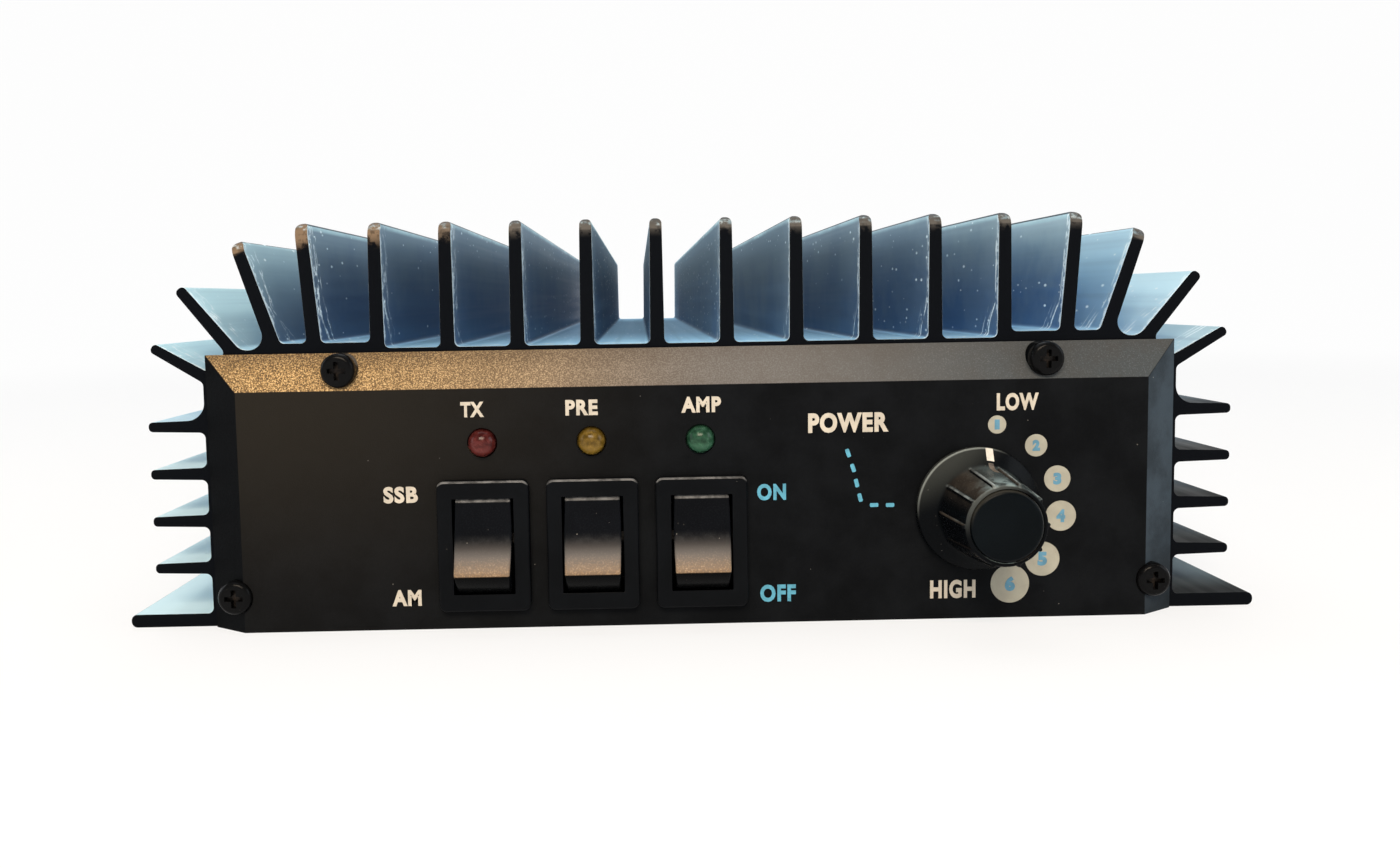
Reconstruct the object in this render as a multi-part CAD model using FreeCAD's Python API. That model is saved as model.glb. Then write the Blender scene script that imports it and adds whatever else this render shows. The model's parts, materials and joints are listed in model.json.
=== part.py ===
"""HF linear amplifier: a finned extrusion closed by two end trays and a bottom plate.

Frame, in millimetres: X to the right seen from the front, Y to the rear, Z up.
The origin is on the underside, midway along and across the extrusion.
"""
import FreeCAD, Part
import math
import os
from collections import namedtuple

Vector = FreeCAD.Vector

# ---- fits and clearances ----
FIT = 0.05            # radial play of a plain round fit
RUN = 0.05            # radial play of a turning or sliding fit
GAP = 0.35            # air between a moving piece and its housing
EASE = 0.3            # air around a plate that drops into a rebate

# ---- extrusion ----
LENGTH = 210.0
WALL_HALF = 81.2      # centre to the outer face of a side wall
WALL_THICK = 8.0
ROOF_Z = 46.4         # floor of the channels between the upright fins
ROOF_THICK = 6.8
FLANGE_REACH = 13.8
FLANGE_THICK = 2.2
UPRIGHT_PAIRS = 5
FIN_HEIGHT = 20.8
FIN_ROOT = 2.4
FIN_TIP = 2.0
LEAN_INSET = 18.55    # outer face of the wall in to the root of the leaning fin
LEAN_GAP = 10.45      # last upright fin to the leaning fin
LEAN_ANGLE = 4.5
SHOULDER_STEP = 1.0   # the channels beside the leaning fin are this much shallower
SIDE_FINS = 4
SIDE_FIN_LOW = 10.0
SIDE_FIN_DROP = 12.55
SIDE_FIN_REACH = 9.3
SIDE_FIN_ROOT = 2.1
SIDE_FIN_TIP = 1.6
FLOOR_FILLET = 0.9
GROOVE_FILLET = 2.3
SIDE_FILLET = 1.0
HIGH_SIDE_FILLET = 3.0
CAVITY_FILLET = 1.5
CORNER_ROUND = 2.5    # rounding of the roof fins' front and rear corners

TIP_FLAT = 0.05       # half of the flat left between a tip's two round edges
SIDE_TIP_FLAT = 0.1

# slanted corner fins: root in from the wall's face and up from the channel floors
SHOULDER_IN = 11.16
SHOULDER_UP = 2.9
SHOULDER_LEAN = 18.3
SHOULDER_LONG = 15.8
SHOULDER_ROOT = 2.3
SHOULDER_TIP = 2.0
CORNER_IN = 4.7
CORNER_UP = 0.3
CORNER_LEAN = 38.7
CORNER_LONG = 12.8
CORNER_ROOT = 2.2
CORNER_TIP = 1.8
LOW_CORNER_IN = 0.4
LOW_CORNER_DOWN = 4.4
LOW_CORNER_LEAN = 59.3
LOW_CORNER_LONG = 10.0
LOW_CORNER_ROOT = 2.0
LOW_CORNER_TIP = 1.6

FanFin = namedtuple("FanFin", "inset rise lean length root tip")
SHOULDER_FIN = FanFin(SHOULDER_IN, SHOULDER_UP, SHOULDER_LEAN, SHOULDER_LONG, SHOULDER_ROOT,
                      SHOULDER_TIP)
CORNER_FIN = FanFin(CORNER_IN, CORNER_UP, CORNER_LEAN, CORNER_LONG, CORNER_ROOT, CORNER_TIP)
LOW_CORNER_FIN = FanFin(LOW_CORNER_IN, -LOW_CORNER_DOWN, LOW_CORNER_LEAN, LOW_CORNER_LONG,
                        LOW_CORNER_ROOT, LOW_CORNER_TIP)

# ---- bottom plate ----
PLATE_THICK = 1.5
PLATE_LEDGE = 5.8     # how far the plate laps under each side wall
PLATE_SCREW_END = 20.0  # end of the extrusion to the first row of plate screws
LEDGE_SCREW_OUT = 2.6

# ---- M3 screws ----
M3_R = 1.5
PAN_R = 2.8
PAN_HEIGHT = 1.9
PAN_ROUND = 0.9
CROSS_WIDTH = 0.8
CROSS_SPAN = 3.0
CROSS_DEPTH = 1.1
CSK_R = 2.75
CLEAR_R = 1.65
TAP_SPARE = 1.0       # a tapped hole runs this far past its screw
PANEL_SCREW_GRIP = 11.0
PLATE_SCREW_GRIP = 6.0
ROOF_SCREW_GRIP = 4.5
M3_NUT_FLATS = 5.5
M3_NUT_THICK = 2.4

# ---- end trays ----
TRAY_DEPTH = 4.0
TRAY_BEVEL = 6.0      # width of the bevel along the top and both sides
TRAY_INSET = 0.7      # the rim lies this far inside the extrusion's outline
TRAY_EDGE = 0.5       # square edge of the rim behind the bevel
TRAY_FACE = 2.0       # wall of the flat face
TRAY_LIP = 2.0        # solid foot under the pocket
TRAY_SOFT = 0.35
TRAY_SCREW_IN = 23.5  # side of the extrusion's wall in to the upper screws
LOW_SCREW_IN = 5.4    # and to the lower screws
LOW_SCREW_Z = 5.95
SEAT_RISE = 0.8       # screw seat above the middle of the bevel

# ---- rocker switches ----
ROCKER_MID_X = -16.9
ROCKER_STEP = 17.8
ROCKER_Z = 14.0
BEZEL_W = 15.0
BEZEL_H = 21.6
BEZEL_PROUD = 1.6
BEZEL_ROUND = 1.3
BEZEL_SOFT = 0.5
FRAME_W = 12.8
FRAME_H = 19.1
FRAME_DEPTH = 11.6    # behind the face of the tray
FRAME_BACK = 1.5
MOUTH_W = 10.0
PIVOT_DEPTH = 5.0     # front of the bezel to the pivot
PIVOT_R = 1.25
PIVOT_BITE = 1.0
PADDLE_R = 9.0        # pivot to the ends of the paddle
PADDLE_SPREAD = 41.5  # half angle between the ends, seen from the pivot
PADDLE_SKIRT = 32.0   # angle of each end's skirt
PADDLE_DISH = 0.9
PADDLE_BOW = 0.3
PADDLE_SOFT = 0.3
PADDLE_TILT = 15.0    # lean of the paddle with its top pressed
HUB_R = 2.3
PLUNGER_W = 3.0
PLUNGER_LONG = 4.6
BLADE_W = 4.8
BLADE_THICK = 0.8
BLADE_LONG = 8.0
BLADE_STEP = 8.0

# ---- indicator lights ----
LED_Z = 30.8
LED_R = 2.4
LED_PROUD = 1.9
LED_LONG = 8.6
LED_RIM = 0.4
LED_RIM_THICK = 1.0
LEAD_W = 0.5
LEAD_STEP = 2.54
LEAD_BACK = 1.5       # inside the front edge of the board

# ---- power knob and its switch ----
KNOB_IN = 28.2        # side of the flat face in to the knob
KNOB_Z = 18.6
KNOB_LIFT = 0.5
SKIRT_R = 10.2
SKIRT_EDGE = 0.9
SKIRT_RISE = 2.5
KNOB_BODY_R = 7.2
KNOB_FRONT_R = 6.3
KNOB_HEIGHT = 14.0
KNOB_CHAMFER = 0.5
KNOB_RIBS = 10
RIB_START = 18.0      # clockwise from the top
RIB_W = 0.55
RIB_RISE = 0.4
CAP_R = 5.6
CAP_SINK = 1.2
CAP_PROUD = 0.5
CAP_SOFT = 0.4
POINTER_ANGLE = 8.5   # clockwise from the top
POINTER_W = 1.2
POINTER_SINK = 0.4
SHAFT_R = 3.0
SHAFT_FRONT_GAP = 1.6
BUSH_R = 3.5
BUSH_PROUD = 2.9
NUT_FLATS = 10.0
NUT_THICK = 2.0
SWITCH_R = 12.0
SWITCH_DEPTH = 14.0
SHAFT_BITE = 5.0
SWITCH_PINS = 7
SWITCH_PIN_R = 0.7
SWITCH_PIN_RING = 8.5
SWITCH_PIN_LONG = 4.0

# ---- rear sockets ----
SOCKET_IN = 20.5      # side of the flat face in to a socket
REAR_Z = 20.0
SOCKET_THREAD_R = 7.9375
SOCKET_THREAD_LONG = 10.8
SOCKET_FLANGE = 25.4
SOCKET_FLANGE_THICK = 1.8
SOCKET_FLANGE_ROUND = 2.0
SOCKET_HOLE_STEP = 18.3
SOCKET_NECK_R = 6.9
SOCKET_NECK_LONG = 8.0
SOCKET_BORE_R = 6.1
DIELECTRIC_LONG = 12.0
CONTACT_R = 2.9
CONTACT_BORE_R = 2.0
CONTACT_SHORT = 1.2   # the contact stops this far inside the mouth
CONTACT_BORE_LONG = 11.0
POT_LONG = 6.0

# ---- fuse holders ----
FUSE_LETTERS = "abc"
FUSE_R = 3.175
FUSE_GLASS_R = 2.9
FUSE_LONG = 31.8
FUSE_END = 6.4
HOLDER_R = 6.4
HOLDER_FLANGE_R = 8.0
HOLDER_FLANGE_THICK = 2.0
HOLDER_BOTTOM = 2.0
HOLDER_NUT_FLATS = 16.0
HOLDER_NUT_THICK = 2.5
CAP_GRIP_R = 6.6
CAP_GRIP_LONG = 6.5
CAP_SLEEVE_WALL = 1.3
CAP_SLEEVE_LONG = 8.0
CAP_BITE = 6.0        # how much of the fuse sits inside the cap
CAP_FLUTES = 18
FLUTE_R = 0.5
SLOT_W = 1.2
SLOT_DEPTH = 1.0
SLOT_LONG = 8.0

# ---- power inlet ----
GROMMET_R = 6.9
GROMMET_NECK_R = 5.6
GROMMET_BORE_R = 3.5
GROMMET_LIP = 2.0
GROMMET_SOFT = 0.8

# ---- main board and what it carries ----
BOARD_THICK = 1.6
BOARD_DROP = 5.0      # standoff height under the roof
BOARD_SIDE = 5.2      # air beside the board
BOARD_FRONT = 11.0
BOARD_REAR = 21.0
STANDOFF_R = 3.0
STANDOFF_IN = 8.0
TRANSISTORS = 4
TRANSISTOR_STEP = 30.0
TRANSISTOR_W = 9.7
TRANSISTOR_FLANGE = 24.6
TRANSISTOR_BODY = 11.0
TRANSISTOR_FLANGE_THICK = 2.8
TRANSISTOR_BODY_HEIGHT = 3.4
TRANSISTOR_TAB = 4.6
TRANSISTOR_TAB_W = 5.0
TRANSISTOR_TAB_THICK = 0.3
TRANSISTOR_HOLE_STEP = 18.4
ACCESS_R = 3.3
CUTOUT_EASE = 0.5
SLEEVE_R = 7.0
SLEEVE_BORE_R = 3.6
SLEEVE_LONG = 28.0
SLEEVE_STEP = 16.0
SLEEVE_END = 1.6
END_SPARE = 1.0       # the end boards stand this far past the sleeves
OUTPUT_Y = 38.0
CORE_W = 14.0
CORE_L = 13.0
CORE_H = 7.5
CORE_BORE_R = 1.9
INPUT_BACK = 56.0     # front edge of the board to the input transformer
WIRE_R = 1.2
FINE_WIRE_R = 0.7
RELAY_BACK = 26.0     # rear edge of the board to the middle of a relay
RELAY_W = 12.6
RELAY_L = 28.0
RELAY_H = 24.5
RELAY_SOFT = 0.6
CAN_R = 5.0
CAN_H = 16.0
CAN_SOFT = 0.6
CAN_IN = 13.0         # side of the board in to the outer capacitors
CAN_STEP = 13.0
CHOKE_IN = 20.0       # side of the board in to the choke
CHOKE_AIR = 5.0       # choke core to the relay behind it
CHOKE_OUT_R = 12.0
CHOKE_IN_R = 6.5
CHOKE_H = 8.0
CHOKE_TURNS = 14
RESISTORS = 6
RESISTOR_IN = 8.0     # side of the board in to the first resistor
RESISTOR_BACK = 30.0  # front edge of the board to the middle of the resistors
RESISTOR_STEP = 9.0
RESISTOR_R = 2.5
RESISTOR_LONG = 12.0
RESISTOR_LEG = 2.5
MICA_X = 8.0
MICA_STEP = 11.0
MICAS = 5
MICA_W = 7.0
MICA_L = 3.0
MICA_H = 6.0
JUMPER_IN = 2.5

# ---- places worked out from the sizes above ----
HALF = LENGTH / 2
CEILING = ROOF_Z - ROOF_THICK
CAVITY_HALF = WALL_HALF - WALL_THICK
LEAN_X = WALL_HALF - LEAN_INSET
FIN_PITCH = (LEAN_X - LEAN_GAP) / (UPRIGHT_PAIRS - 0.5)
RIM_HALF = WALL_HALF - TRAY_INSET
RIM_TOP = ROOF_Z - TRAY_INSET
FACE_HALF = RIM_HALF - TRAY_BEVEL
FACE_TOP = RIM_TOP - TRAY_BEVEL
FACE_Y = HALF + TRAY_DEPTH            # outer face of either tray
BACK_Y = FACE_Y - TRAY_FACE           # inner face of either tray
REBATE_HALF = CAVITY_HALF + PLATE_LEDGE
PLATE_SCREW_X = CAVITY_HALF + LEDGE_SCREW_OUT
TRAY_SCREW_X = WALL_HALF - TRAY_SCREW_IN
TRAY_SCREW_TOP = ROOF_Z - ROOF_THICK / 2
LOW_SCREW_X = WALL_HALF - LOW_SCREW_IN
BOARD_TOP = CEILING - BOARD_DROP
BOARD_LOW = BOARD_TOP - BOARD_THICK
BOARD_HALF = CAVITY_HALF - BOARD_SIDE
BOARD_Y0 = -HALF + BOARD_FRONT
BOARD_Y1 = HALF - BOARD_REAR
KNOB_X = FACE_HALF - KNOB_IN
SOCKET_X = FACE_HALF - SOCKET_IN
RELAY_X = SOCKET_X
RELAY_Y = BOARD_Y1 - RELAY_BACK
CHOKE_Y = RELAY_Y - RELAY_L / 2 - CHOKE_AIR - CHOKE_OUT_R
INPUT_Y = BOARD_Y0 + INPUT_BACK
CAN_X = BOARD_HALF - CAN_IN
CHOKE_X = CHOKE_IN - BOARD_HALF
RESISTOR_X = RESISTOR_IN - BOARD_HALF
RESISTOR_Y = BOARD_Y0 + RESISTOR_BACK
ROCKER_PLACES = [("a", ROCKER_MID_X - ROCKER_STEP), ("b", ROCKER_MID_X),
                 ("c", ROCKER_MID_X + ROCKER_STEP)]
REAR_ROOM = 2 * SOCKET_X - SOCKET_FLANGE              # between the flanges of the two sockets
REAR_FILLED = len(FUSE_LETTERS) * 2 * HOLDER_FLANGE_R + 2 * GROMMET_R
REAR_GAP = (REAR_ROOM - REAR_FILLED) / (len(FUSE_LETTERS) + 2)
FUSE_START = REAR_GAP + HOLDER_FLANGE_R - REAR_ROOM / 2
FUSE_PLACES = [(letter, FUSE_START + i * (2 * HOLDER_FLANGE_R + REAR_GAP))
               for i, letter in enumerate(FUSE_LETTERS)]
GROMMET_X = REAR_ROOM / 2 - REAR_GAP - GROMMET_R
STANDOFF_SPOTS = [(side * (BOARD_HALF - STANDOFF_IN), y) for side in (-1, 1)
                  for y in (BOARD_Y0 + STANDOFF_IN, (BOARD_Y0 + BOARD_Y1) / 2 - STANDOFF_IN,
                            BOARD_Y1 - STANDOFF_IN)]
TRANSISTOR_X = [(i - (TRANSISTORS - 1) / 2) * TRANSISTOR_STEP for i in range(TRANSISTORS)]

X_AXIS, Y_AXIS, Z_AXIS = Vector(1, 0, 0), Vector(0, 1, 0), Vector(0, 0, 1)
OVER = 1.0            # how far a cutting tool runs past the face it cuts


# ---- shape helpers ----
def block(x0, x1, y0, y1, z0, z1):
    """Box between two corners."""
    low = Vector(min(x0, x1), min(y0, y1), min(z0, z1))
    return Part.makeBox(abs(x1 - x0), abs(y1 - y0), abs(z1 - z0), low)


def rod_y(radius, y0, y1, x=0.0, z=0.0):
    """Cylinder along Y."""
    return Part.makeCylinder(radius, abs(y1 - y0), Vector(x, min(y0, y1), z), Y_AXIS)


def rod_z(radius, z0, z1, x=0.0, y=0.0):
    """Cylinder along Z."""
    return Part.makeCylinder(radius, abs(z1 - z0), Vector(x, y, min(z0, z1)), Z_AXIS)


def rod_x(radius, x0, x1, y=0.0, z=0.0):
    """Cylinder along X."""
    return Part.makeCylinder(radius, abs(x1 - x0), Vector(min(x0, x1), y, z), X_AXIS)


def tube_y(outer, inner, y0, y1, x=0.0, z=0.0):
    """Tube along Y."""
    return rod_y(outer, y0, y1, x, z).cut(rod_y(inner, y0 - OVER, y1 + OVER, x, z))


def rounded_wire(points, place):
    """Closed wire through (u, v, radius) corners; place(u, v) puts a corner in space."""
    corners = [(Vector(u, v, 0), radius) for u, v, radius in points]
    edges, count = [], len(corners)
    ends = []
    for i, (point, radius) in enumerate(corners):
        back = (corners[i - 1][0] - point).normalize()
        ahead = (corners[(i + 1) % count][0] - point).normalize()
        if radius <= 0:
            ends.append((point, None, point))
            continue
        half = back.getAngle(ahead) / 2
        reach = radius / math.tan(half)
        middle = (back + ahead).normalize()
        crown = point + middle * (radius / math.sin(half) - radius)
        ends.append((point + back * reach, crown, point + ahead * reach))
    for i, (start, crown, end) in enumerate(ends):
        if crown is not None:
            arc = Part.Arc(place(start.x, start.y), place(crown.x, crown.y), place(end.x, end.y))
            edges.append(arc.toShape())
        following = ends[(i + 1) % count][0]
        if (following - end).Length > 1e-6:
            edges.append(Part.makeLine(place(end.x, end.y), place(following.x, following.y)))
    return Part.Wire(edges)


def prism_y(points, y0, y1):
    """Outline of (x, z, radius) corners drawn out along Y."""
    wire = rounded_wire(points, lambda u, v: Vector(u, min(y0, y1), v))
    return Part.Face(wire).extrude(Vector(0, abs(y1 - y0), 0))


def prism_x(points, x0, x1):
    """Outline of (y, z, radius) corners drawn out along X."""
    wire = rounded_wire(points, lambda u, v: Vector(x0, u, v))
    return Part.Face(wire).extrude(Vector(x1 - x0, 0, 0))


def spin_y(points, x=0.0, z=0.0):
    """Outline of (radius, y) corners turned about a line along Y."""
    corners = [Vector(x + radius, y, z) for radius, y in points]
    face = Part.Face(Part.makePolygon(corners + corners[:1]))
    return face.revolve(Vector(x, 0, z), Y_AXIS, 360)


def rectangle(half_x, z0, z1, radius):
    """Corners of an upright rectangle about x = 0."""
    return [(-half_x, z0, radius), (half_x, z0, radius), (half_x, z1, radius),
            (-half_x, z1, radius)]


def hex_y(flats, y0, y1, x, z):
    """Hexagonal prism along Y, flats across the given width."""
    reach = flats / math.sqrt(3)
    corners = [(x + reach * math.cos(math.radians(60 * i)),
                z + reach * math.sin(math.radians(60 * i)), 0) for i in range(6)]
    return prism_y(corners, y0, y1)


def moved(shape, x=0.0, y=0.0, z=0.0):
    """Copy of a shape, shifted."""
    copy = shape.copy()
    copy.translate(Vector(x, y, z))
    return copy


def turned(shape, centre, axis, angle):
    """Copy of a shape, turned about an axis through a point."""
    copy = shape.copy()
    copy.rotate(centre, axis, angle)
    return copy


def mirror_x(shape):
    """Mirror image of a shape across the middle plane x = 0."""
    return shape.mirror(Vector(0, 0, 0), X_AXIS)


def mirror_y(shape):
    """Mirror image of a shape across the plane y = 0."""
    return shape.mirror(Vector(0, 0, 0), Y_AXIS)


def joined(shapes):
    """One solid made of several that touch."""
    return shapes[0].multiFuse(shapes[1:]).removeSplitter()


def pan_screw(grip):
    """Pan head screw with a cross recess, seat at y = 0, head towards -Y."""
    head = rod_y(PAN_R, -PAN_HEIGHT, 0)
    rim = [edge for edge in head.Edges if abs(edge.CenterOfMass.y + PAN_HEIGHT) < 1e-6]
    head = head.makeFillet(PAN_ROUND, rim)
    bar = block(-CROSS_SPAN / 2, CROSS_SPAN / 2, -PAN_HEIGHT - OVER, CROSS_DEPTH - PAN_HEIGHT,
                -CROSS_WIDTH / 2, CROSS_WIDTH / 2)
    cross = bar.fuse(turned(bar, Vector(0, 0, 0), Y_AXIS, 90))
    return joined([head, rod_y(M3_R, 0, grip)]).cut(cross)


def csk_screw(grip):
    """Countersunk screw, head flush with z = 0, shank upwards."""
    head = Part.makeCone(CSK_R, M3_R, CSK_R - M3_R, Vector(0, 0, 0), Z_AXIS)
    bar = block(-CROSS_SPAN / 2, CROSS_SPAN / 2, -CROSS_WIDTH / 2, CROSS_WIDTH / 2,
                -OVER, CROSS_DEPTH)
    cross = bar.fuse(turned(bar, Vector(0, 0, 0), Z_AXIS, 90))
    return joined([head, rod_z(M3_R, CSK_R - M3_R, grip)]).cut(cross)


def roof_screw(seat_z, tip_z, x, y):
    """Pan head screw driven upwards, its head under the seat."""
    screw = turned(pan_screw(tip_z - seat_z), Vector(0, 0, 0), X_AXIS, 90)
    return moved(screw, x, y, seat_z)


# ---- extrusion ----
def fin_corners(root, tip, root_width, tip_width):
    """Corners of a tapered fin: root and tip on its inner side, tip and root on its outer side."""
    along = Vector(tip[0] - root[0], tip[1] - root[1], 0).normalize()
    side = Vector(along.y, -along.x, 0)
    corners = []
    for sign, order in ((-1, (root, tip)), (1, (tip, root))):
        for end in order:
            half = (root_width if end is root else tip_width) / 2
            corners.append((end[0] + sign * side.x * half, end[1] + sign * side.y * half))
    return corners


def at_height(low, high, z):
    """Point of a line at a height."""
    share = (z - low[1]) / (high[1] - low[1])
    return (low[0] + share * (high[0] - low[0]), z)


def at_reach(low, high, x):
    """Point of a line at a distance from the middle."""
    share = (x - low[0]) / (high[0] - low[0])
    return (x, low[1] + share * (high[1] - low[1]))


def fan_ends(fin):
    """Root and tip of a slanted corner fin."""
    root = (WALL_HALF - fin.inset, ROOF_Z + fin.rise)
    lean = math.radians(fin.lean)
    return root, (root[0] + fin.length * math.sin(lean), root[1] + fin.length * math.cos(lean))


def lean_ends():
    """Root and tip of the leaning fin beside the upright ones."""
    rise = FIN_HEIGHT - SHOULDER_STEP
    root = (LEAN_X, ROOF_Z + SHOULDER_STEP)
    return root, (LEAN_X + rise * math.tan(math.radians(LEAN_ANGLE)), ROOF_Z + FIN_HEIGHT)


def half_outline():
    """Right half of the extrusion's section, from the top middle round to the ceiling."""
    shelf = ROOF_Z + SHOULDER_STEP
    tip_round = FIN_TIP / 2 - TIP_FLAT
    points = []

    def add(corner, radius):
        points.append((corner[0], corner[1], radius))

    def add_fin(ends, widths, floors, radii):
        inner_root, inner_tip, outer_tip, outer_root = fin_corners(*ends, *widths)
        tip_r = min(tip_round, widths[1] / 2 - TIP_FLAT)
        add(at_height(inner_root, inner_tip, floors[0]), radii[0])
        add(inner_tip, tip_r)
        add(outer_tip, tip_r)
        add(at_height(outer_root, outer_tip, floors[1]), radii[1])

    for i in range(UPRIGHT_PAIRS):
        x = (i + 0.5) * FIN_PITCH
        outer_floor = shelf if i == UPRIGHT_PAIRS - 1 else ROOF_Z
        add_fin(((x, ROOF_Z), (x, ROOF_Z + FIN_HEIGHT)), (FIN_ROOT, FIN_TIP),
                (ROOF_Z, outer_floor), (FLOOR_FILLET, FLOOR_FILLET))
    add_fin(lean_ends(), (FIN_ROOT, FIN_TIP), (shelf, shelf), (FLOOR_FILLET, FLOOR_FILLET))
    fin = SHOULDER_FIN
    add_fin(fan_ends(fin), (fin.root, fin.tip), (shelf, ROOF_Z), (FLOOR_FILLET, GROOVE_FILLET))
    fin = CORNER_FIN
    inner_root, inner_tip, outer_tip, outer_root = fin_corners(*fan_ends(fin), fin.root, fin.tip)
    add(at_height(inner_root, inner_tip, ROOF_Z), GROOVE_FILLET)
    add(inner_tip, fin.tip / 2 - SIDE_TIP_FLAT)
    add(outer_tip, fin.tip / 2 - SIDE_TIP_FLAT)
    add(outer_root, SIDE_FILLET)
    fin = LOW_CORNER_FIN
    inner_root, inner_tip, outer_tip, outer_root = fin_corners(*fan_ends(fin), fin.root, fin.tip)
    add(inner_root, SIDE_FILLET)
    add(inner_tip, fin.tip / 2 - SIDE_TIP_FLAT)
    add(outer_tip, fin.tip / 2 - SIDE_TIP_FLAT)
    add(at_reach(outer_root, outer_tip, WALL_HALF), SIDE_FILLET)

    side_round = SIDE_FIN_TIP / 2 - SIDE_TIP_FLAT
    side_step = (ROOF_Z - SIDE_FIN_DROP - SIDE_FIN_LOW) / (SIDE_FINS - 1)
    for i in reversed(range(SIDE_FINS)):
        z = SIDE_FIN_LOW + i * side_step
        top_fillet = HIGH_SIDE_FILLET if i == SIDE_FINS - 1 else SIDE_FILLET
        add((WALL_HALF, z + SIDE_FIN_ROOT / 2), top_fillet)
        add((WALL_HALF + SIDE_FIN_REACH, z + SIDE_FIN_TIP / 2), side_round)
        add((WALL_HALF + SIDE_FIN_REACH, z - SIDE_FIN_TIP / 2), side_round)
        add((WALL_HALF, z - SIDE_FIN_ROOT / 2), SIDE_FILLET)
    add((WALL_HALF, FLANGE_THICK), SIDE_FILLET)
    flange_round = FLANGE_THICK / 2 - SIDE_TIP_FLAT
    add((WALL_HALF + FLANGE_REACH, FLANGE_THICK), flange_round)
    add((WALL_HALF + FLANGE_REACH, 0.0), flange_round)
    add((REBATE_HALF, 0.0), 0.0)
    add((REBATE_HALF, PLATE_THICK), 0.0)
    add((CAVITY_HALF, PLATE_THICK), 0.0)
    add((CAVITY_HALF, CEILING), CAVITY_FILLET)
    return points


def corner_cutter(half_width, end):
    """Tool that rounds a fin's top corner, at z = 0 over one end of the extrusion."""
    inward = -1 if end > 0 else 1
    centre_y = end + inward * CORNER_ROUND
    bar = block(-half_width, half_width, end - inward * OVER, centre_y, -CORNER_ROUND, OVER)
    return bar.cut(rod_x(CORNER_ROUND, -half_width - OVER, half_width + OVER,
                         centre_y, -CORNER_ROUND))


def heatsink_housing():
    """Finned roof, both side walls and both flanges, in one extruded piece."""
    right = half_outline()
    left = [(-x, z, radius) for x, z, radius in reversed(right)]
    body = prism_y(right + left, -HALF, HALF)

    tools = []
    last_fin = (UPRIGHT_PAIRS - 0.5) * FIN_PITCH
    fin_half = FIN_ROOT / 2 + OVER
    for end in (-HALF, HALF):
        tools.append(moved(corner_cutter(last_fin + fin_half, end), z=ROOF_Z + FIN_HEIGHT))
        for ends, lean in ((lean_ends(), LEAN_ANGLE), (fan_ends(SHOULDER_FIN), SHOULDER_FIN.lean)):
            tip = ends[1]
            slanted = turned(corner_cutter(fin_half, end), Vector(0, 0, 0), Y_AXIS, lean)
            slanted = moved(slanted, tip[0], 0, tip[1])
            tools += [slanted, mirror_x(slanted)]
        depth = PANEL_SCREW_GRIP + TAP_SPARE
        inward = -1 if end > 0 else 1
        for x, z in tray_screw_spots():
            tools.append(rod_y(M3_R + FIT, end - inward * OVER, end + inward * depth, x, z))
    for x, y in plate_screw_spots():
        tools.append(rod_z(M3_R + FIT, PLATE_THICK - OVER, PLATE_SCREW_GRIP + TAP_SPARE, x, y))
    roof_hole = ROOF_SCREW_GRIP + TAP_SPARE
    for x, y in STANDOFF_SPOTS + transistor_screw_spots():
        tools.append(rod_z(M3_R + FIT, CEILING - OVER, CEILING + roof_hole, x, y))
    return body.cut(tools)


def tray_screw_spots():
    """(x, z) of the four screws that hold each tray."""
    return [(side * x, z) for x, z in ((TRAY_SCREW_X, TRAY_SCREW_TOP), (LOW_SCREW_X, LOW_SCREW_Z))
            for side in (-1, 1)]


def plate_screw_spots():
    """(x, y) of the bottom plate's screws, kept clear of the tray screws."""
    rows = (PLATE_SCREW_END - HALF, 0.0, HALF - PLATE_SCREW_END)
    return [(side * PLATE_SCREW_X, row) for side in (-1, 1) for row in rows]


def transistor_screw_spots():
    """(x, y) of the screws through the transistor flanges."""
    return [(x, side * TRANSISTOR_HOLE_STEP / 2) for x in TRANSISTOR_X for side in (-1, 1)]


def bottom_plate():
    """Sheet that closes the underside, flush with the flanges."""
    half_x, half_y = REBATE_HALF - EASE, HALF - EASE
    plate = block(-half_x, half_x, -half_y, half_y, 0, PLATE_THICK)
    for x, y in plate_screw_spots():
        plate = plate.cut(rod_z(CLEAR_R, -OVER, PLATE_THICK + OVER, x, y))
        plate = plate.cut(Part.makeCone(CSK_R + FIT, M3_R + FIT, CSK_R - M3_R, Vector(x, y, 0), Z_AXIS))
    return plate


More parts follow.
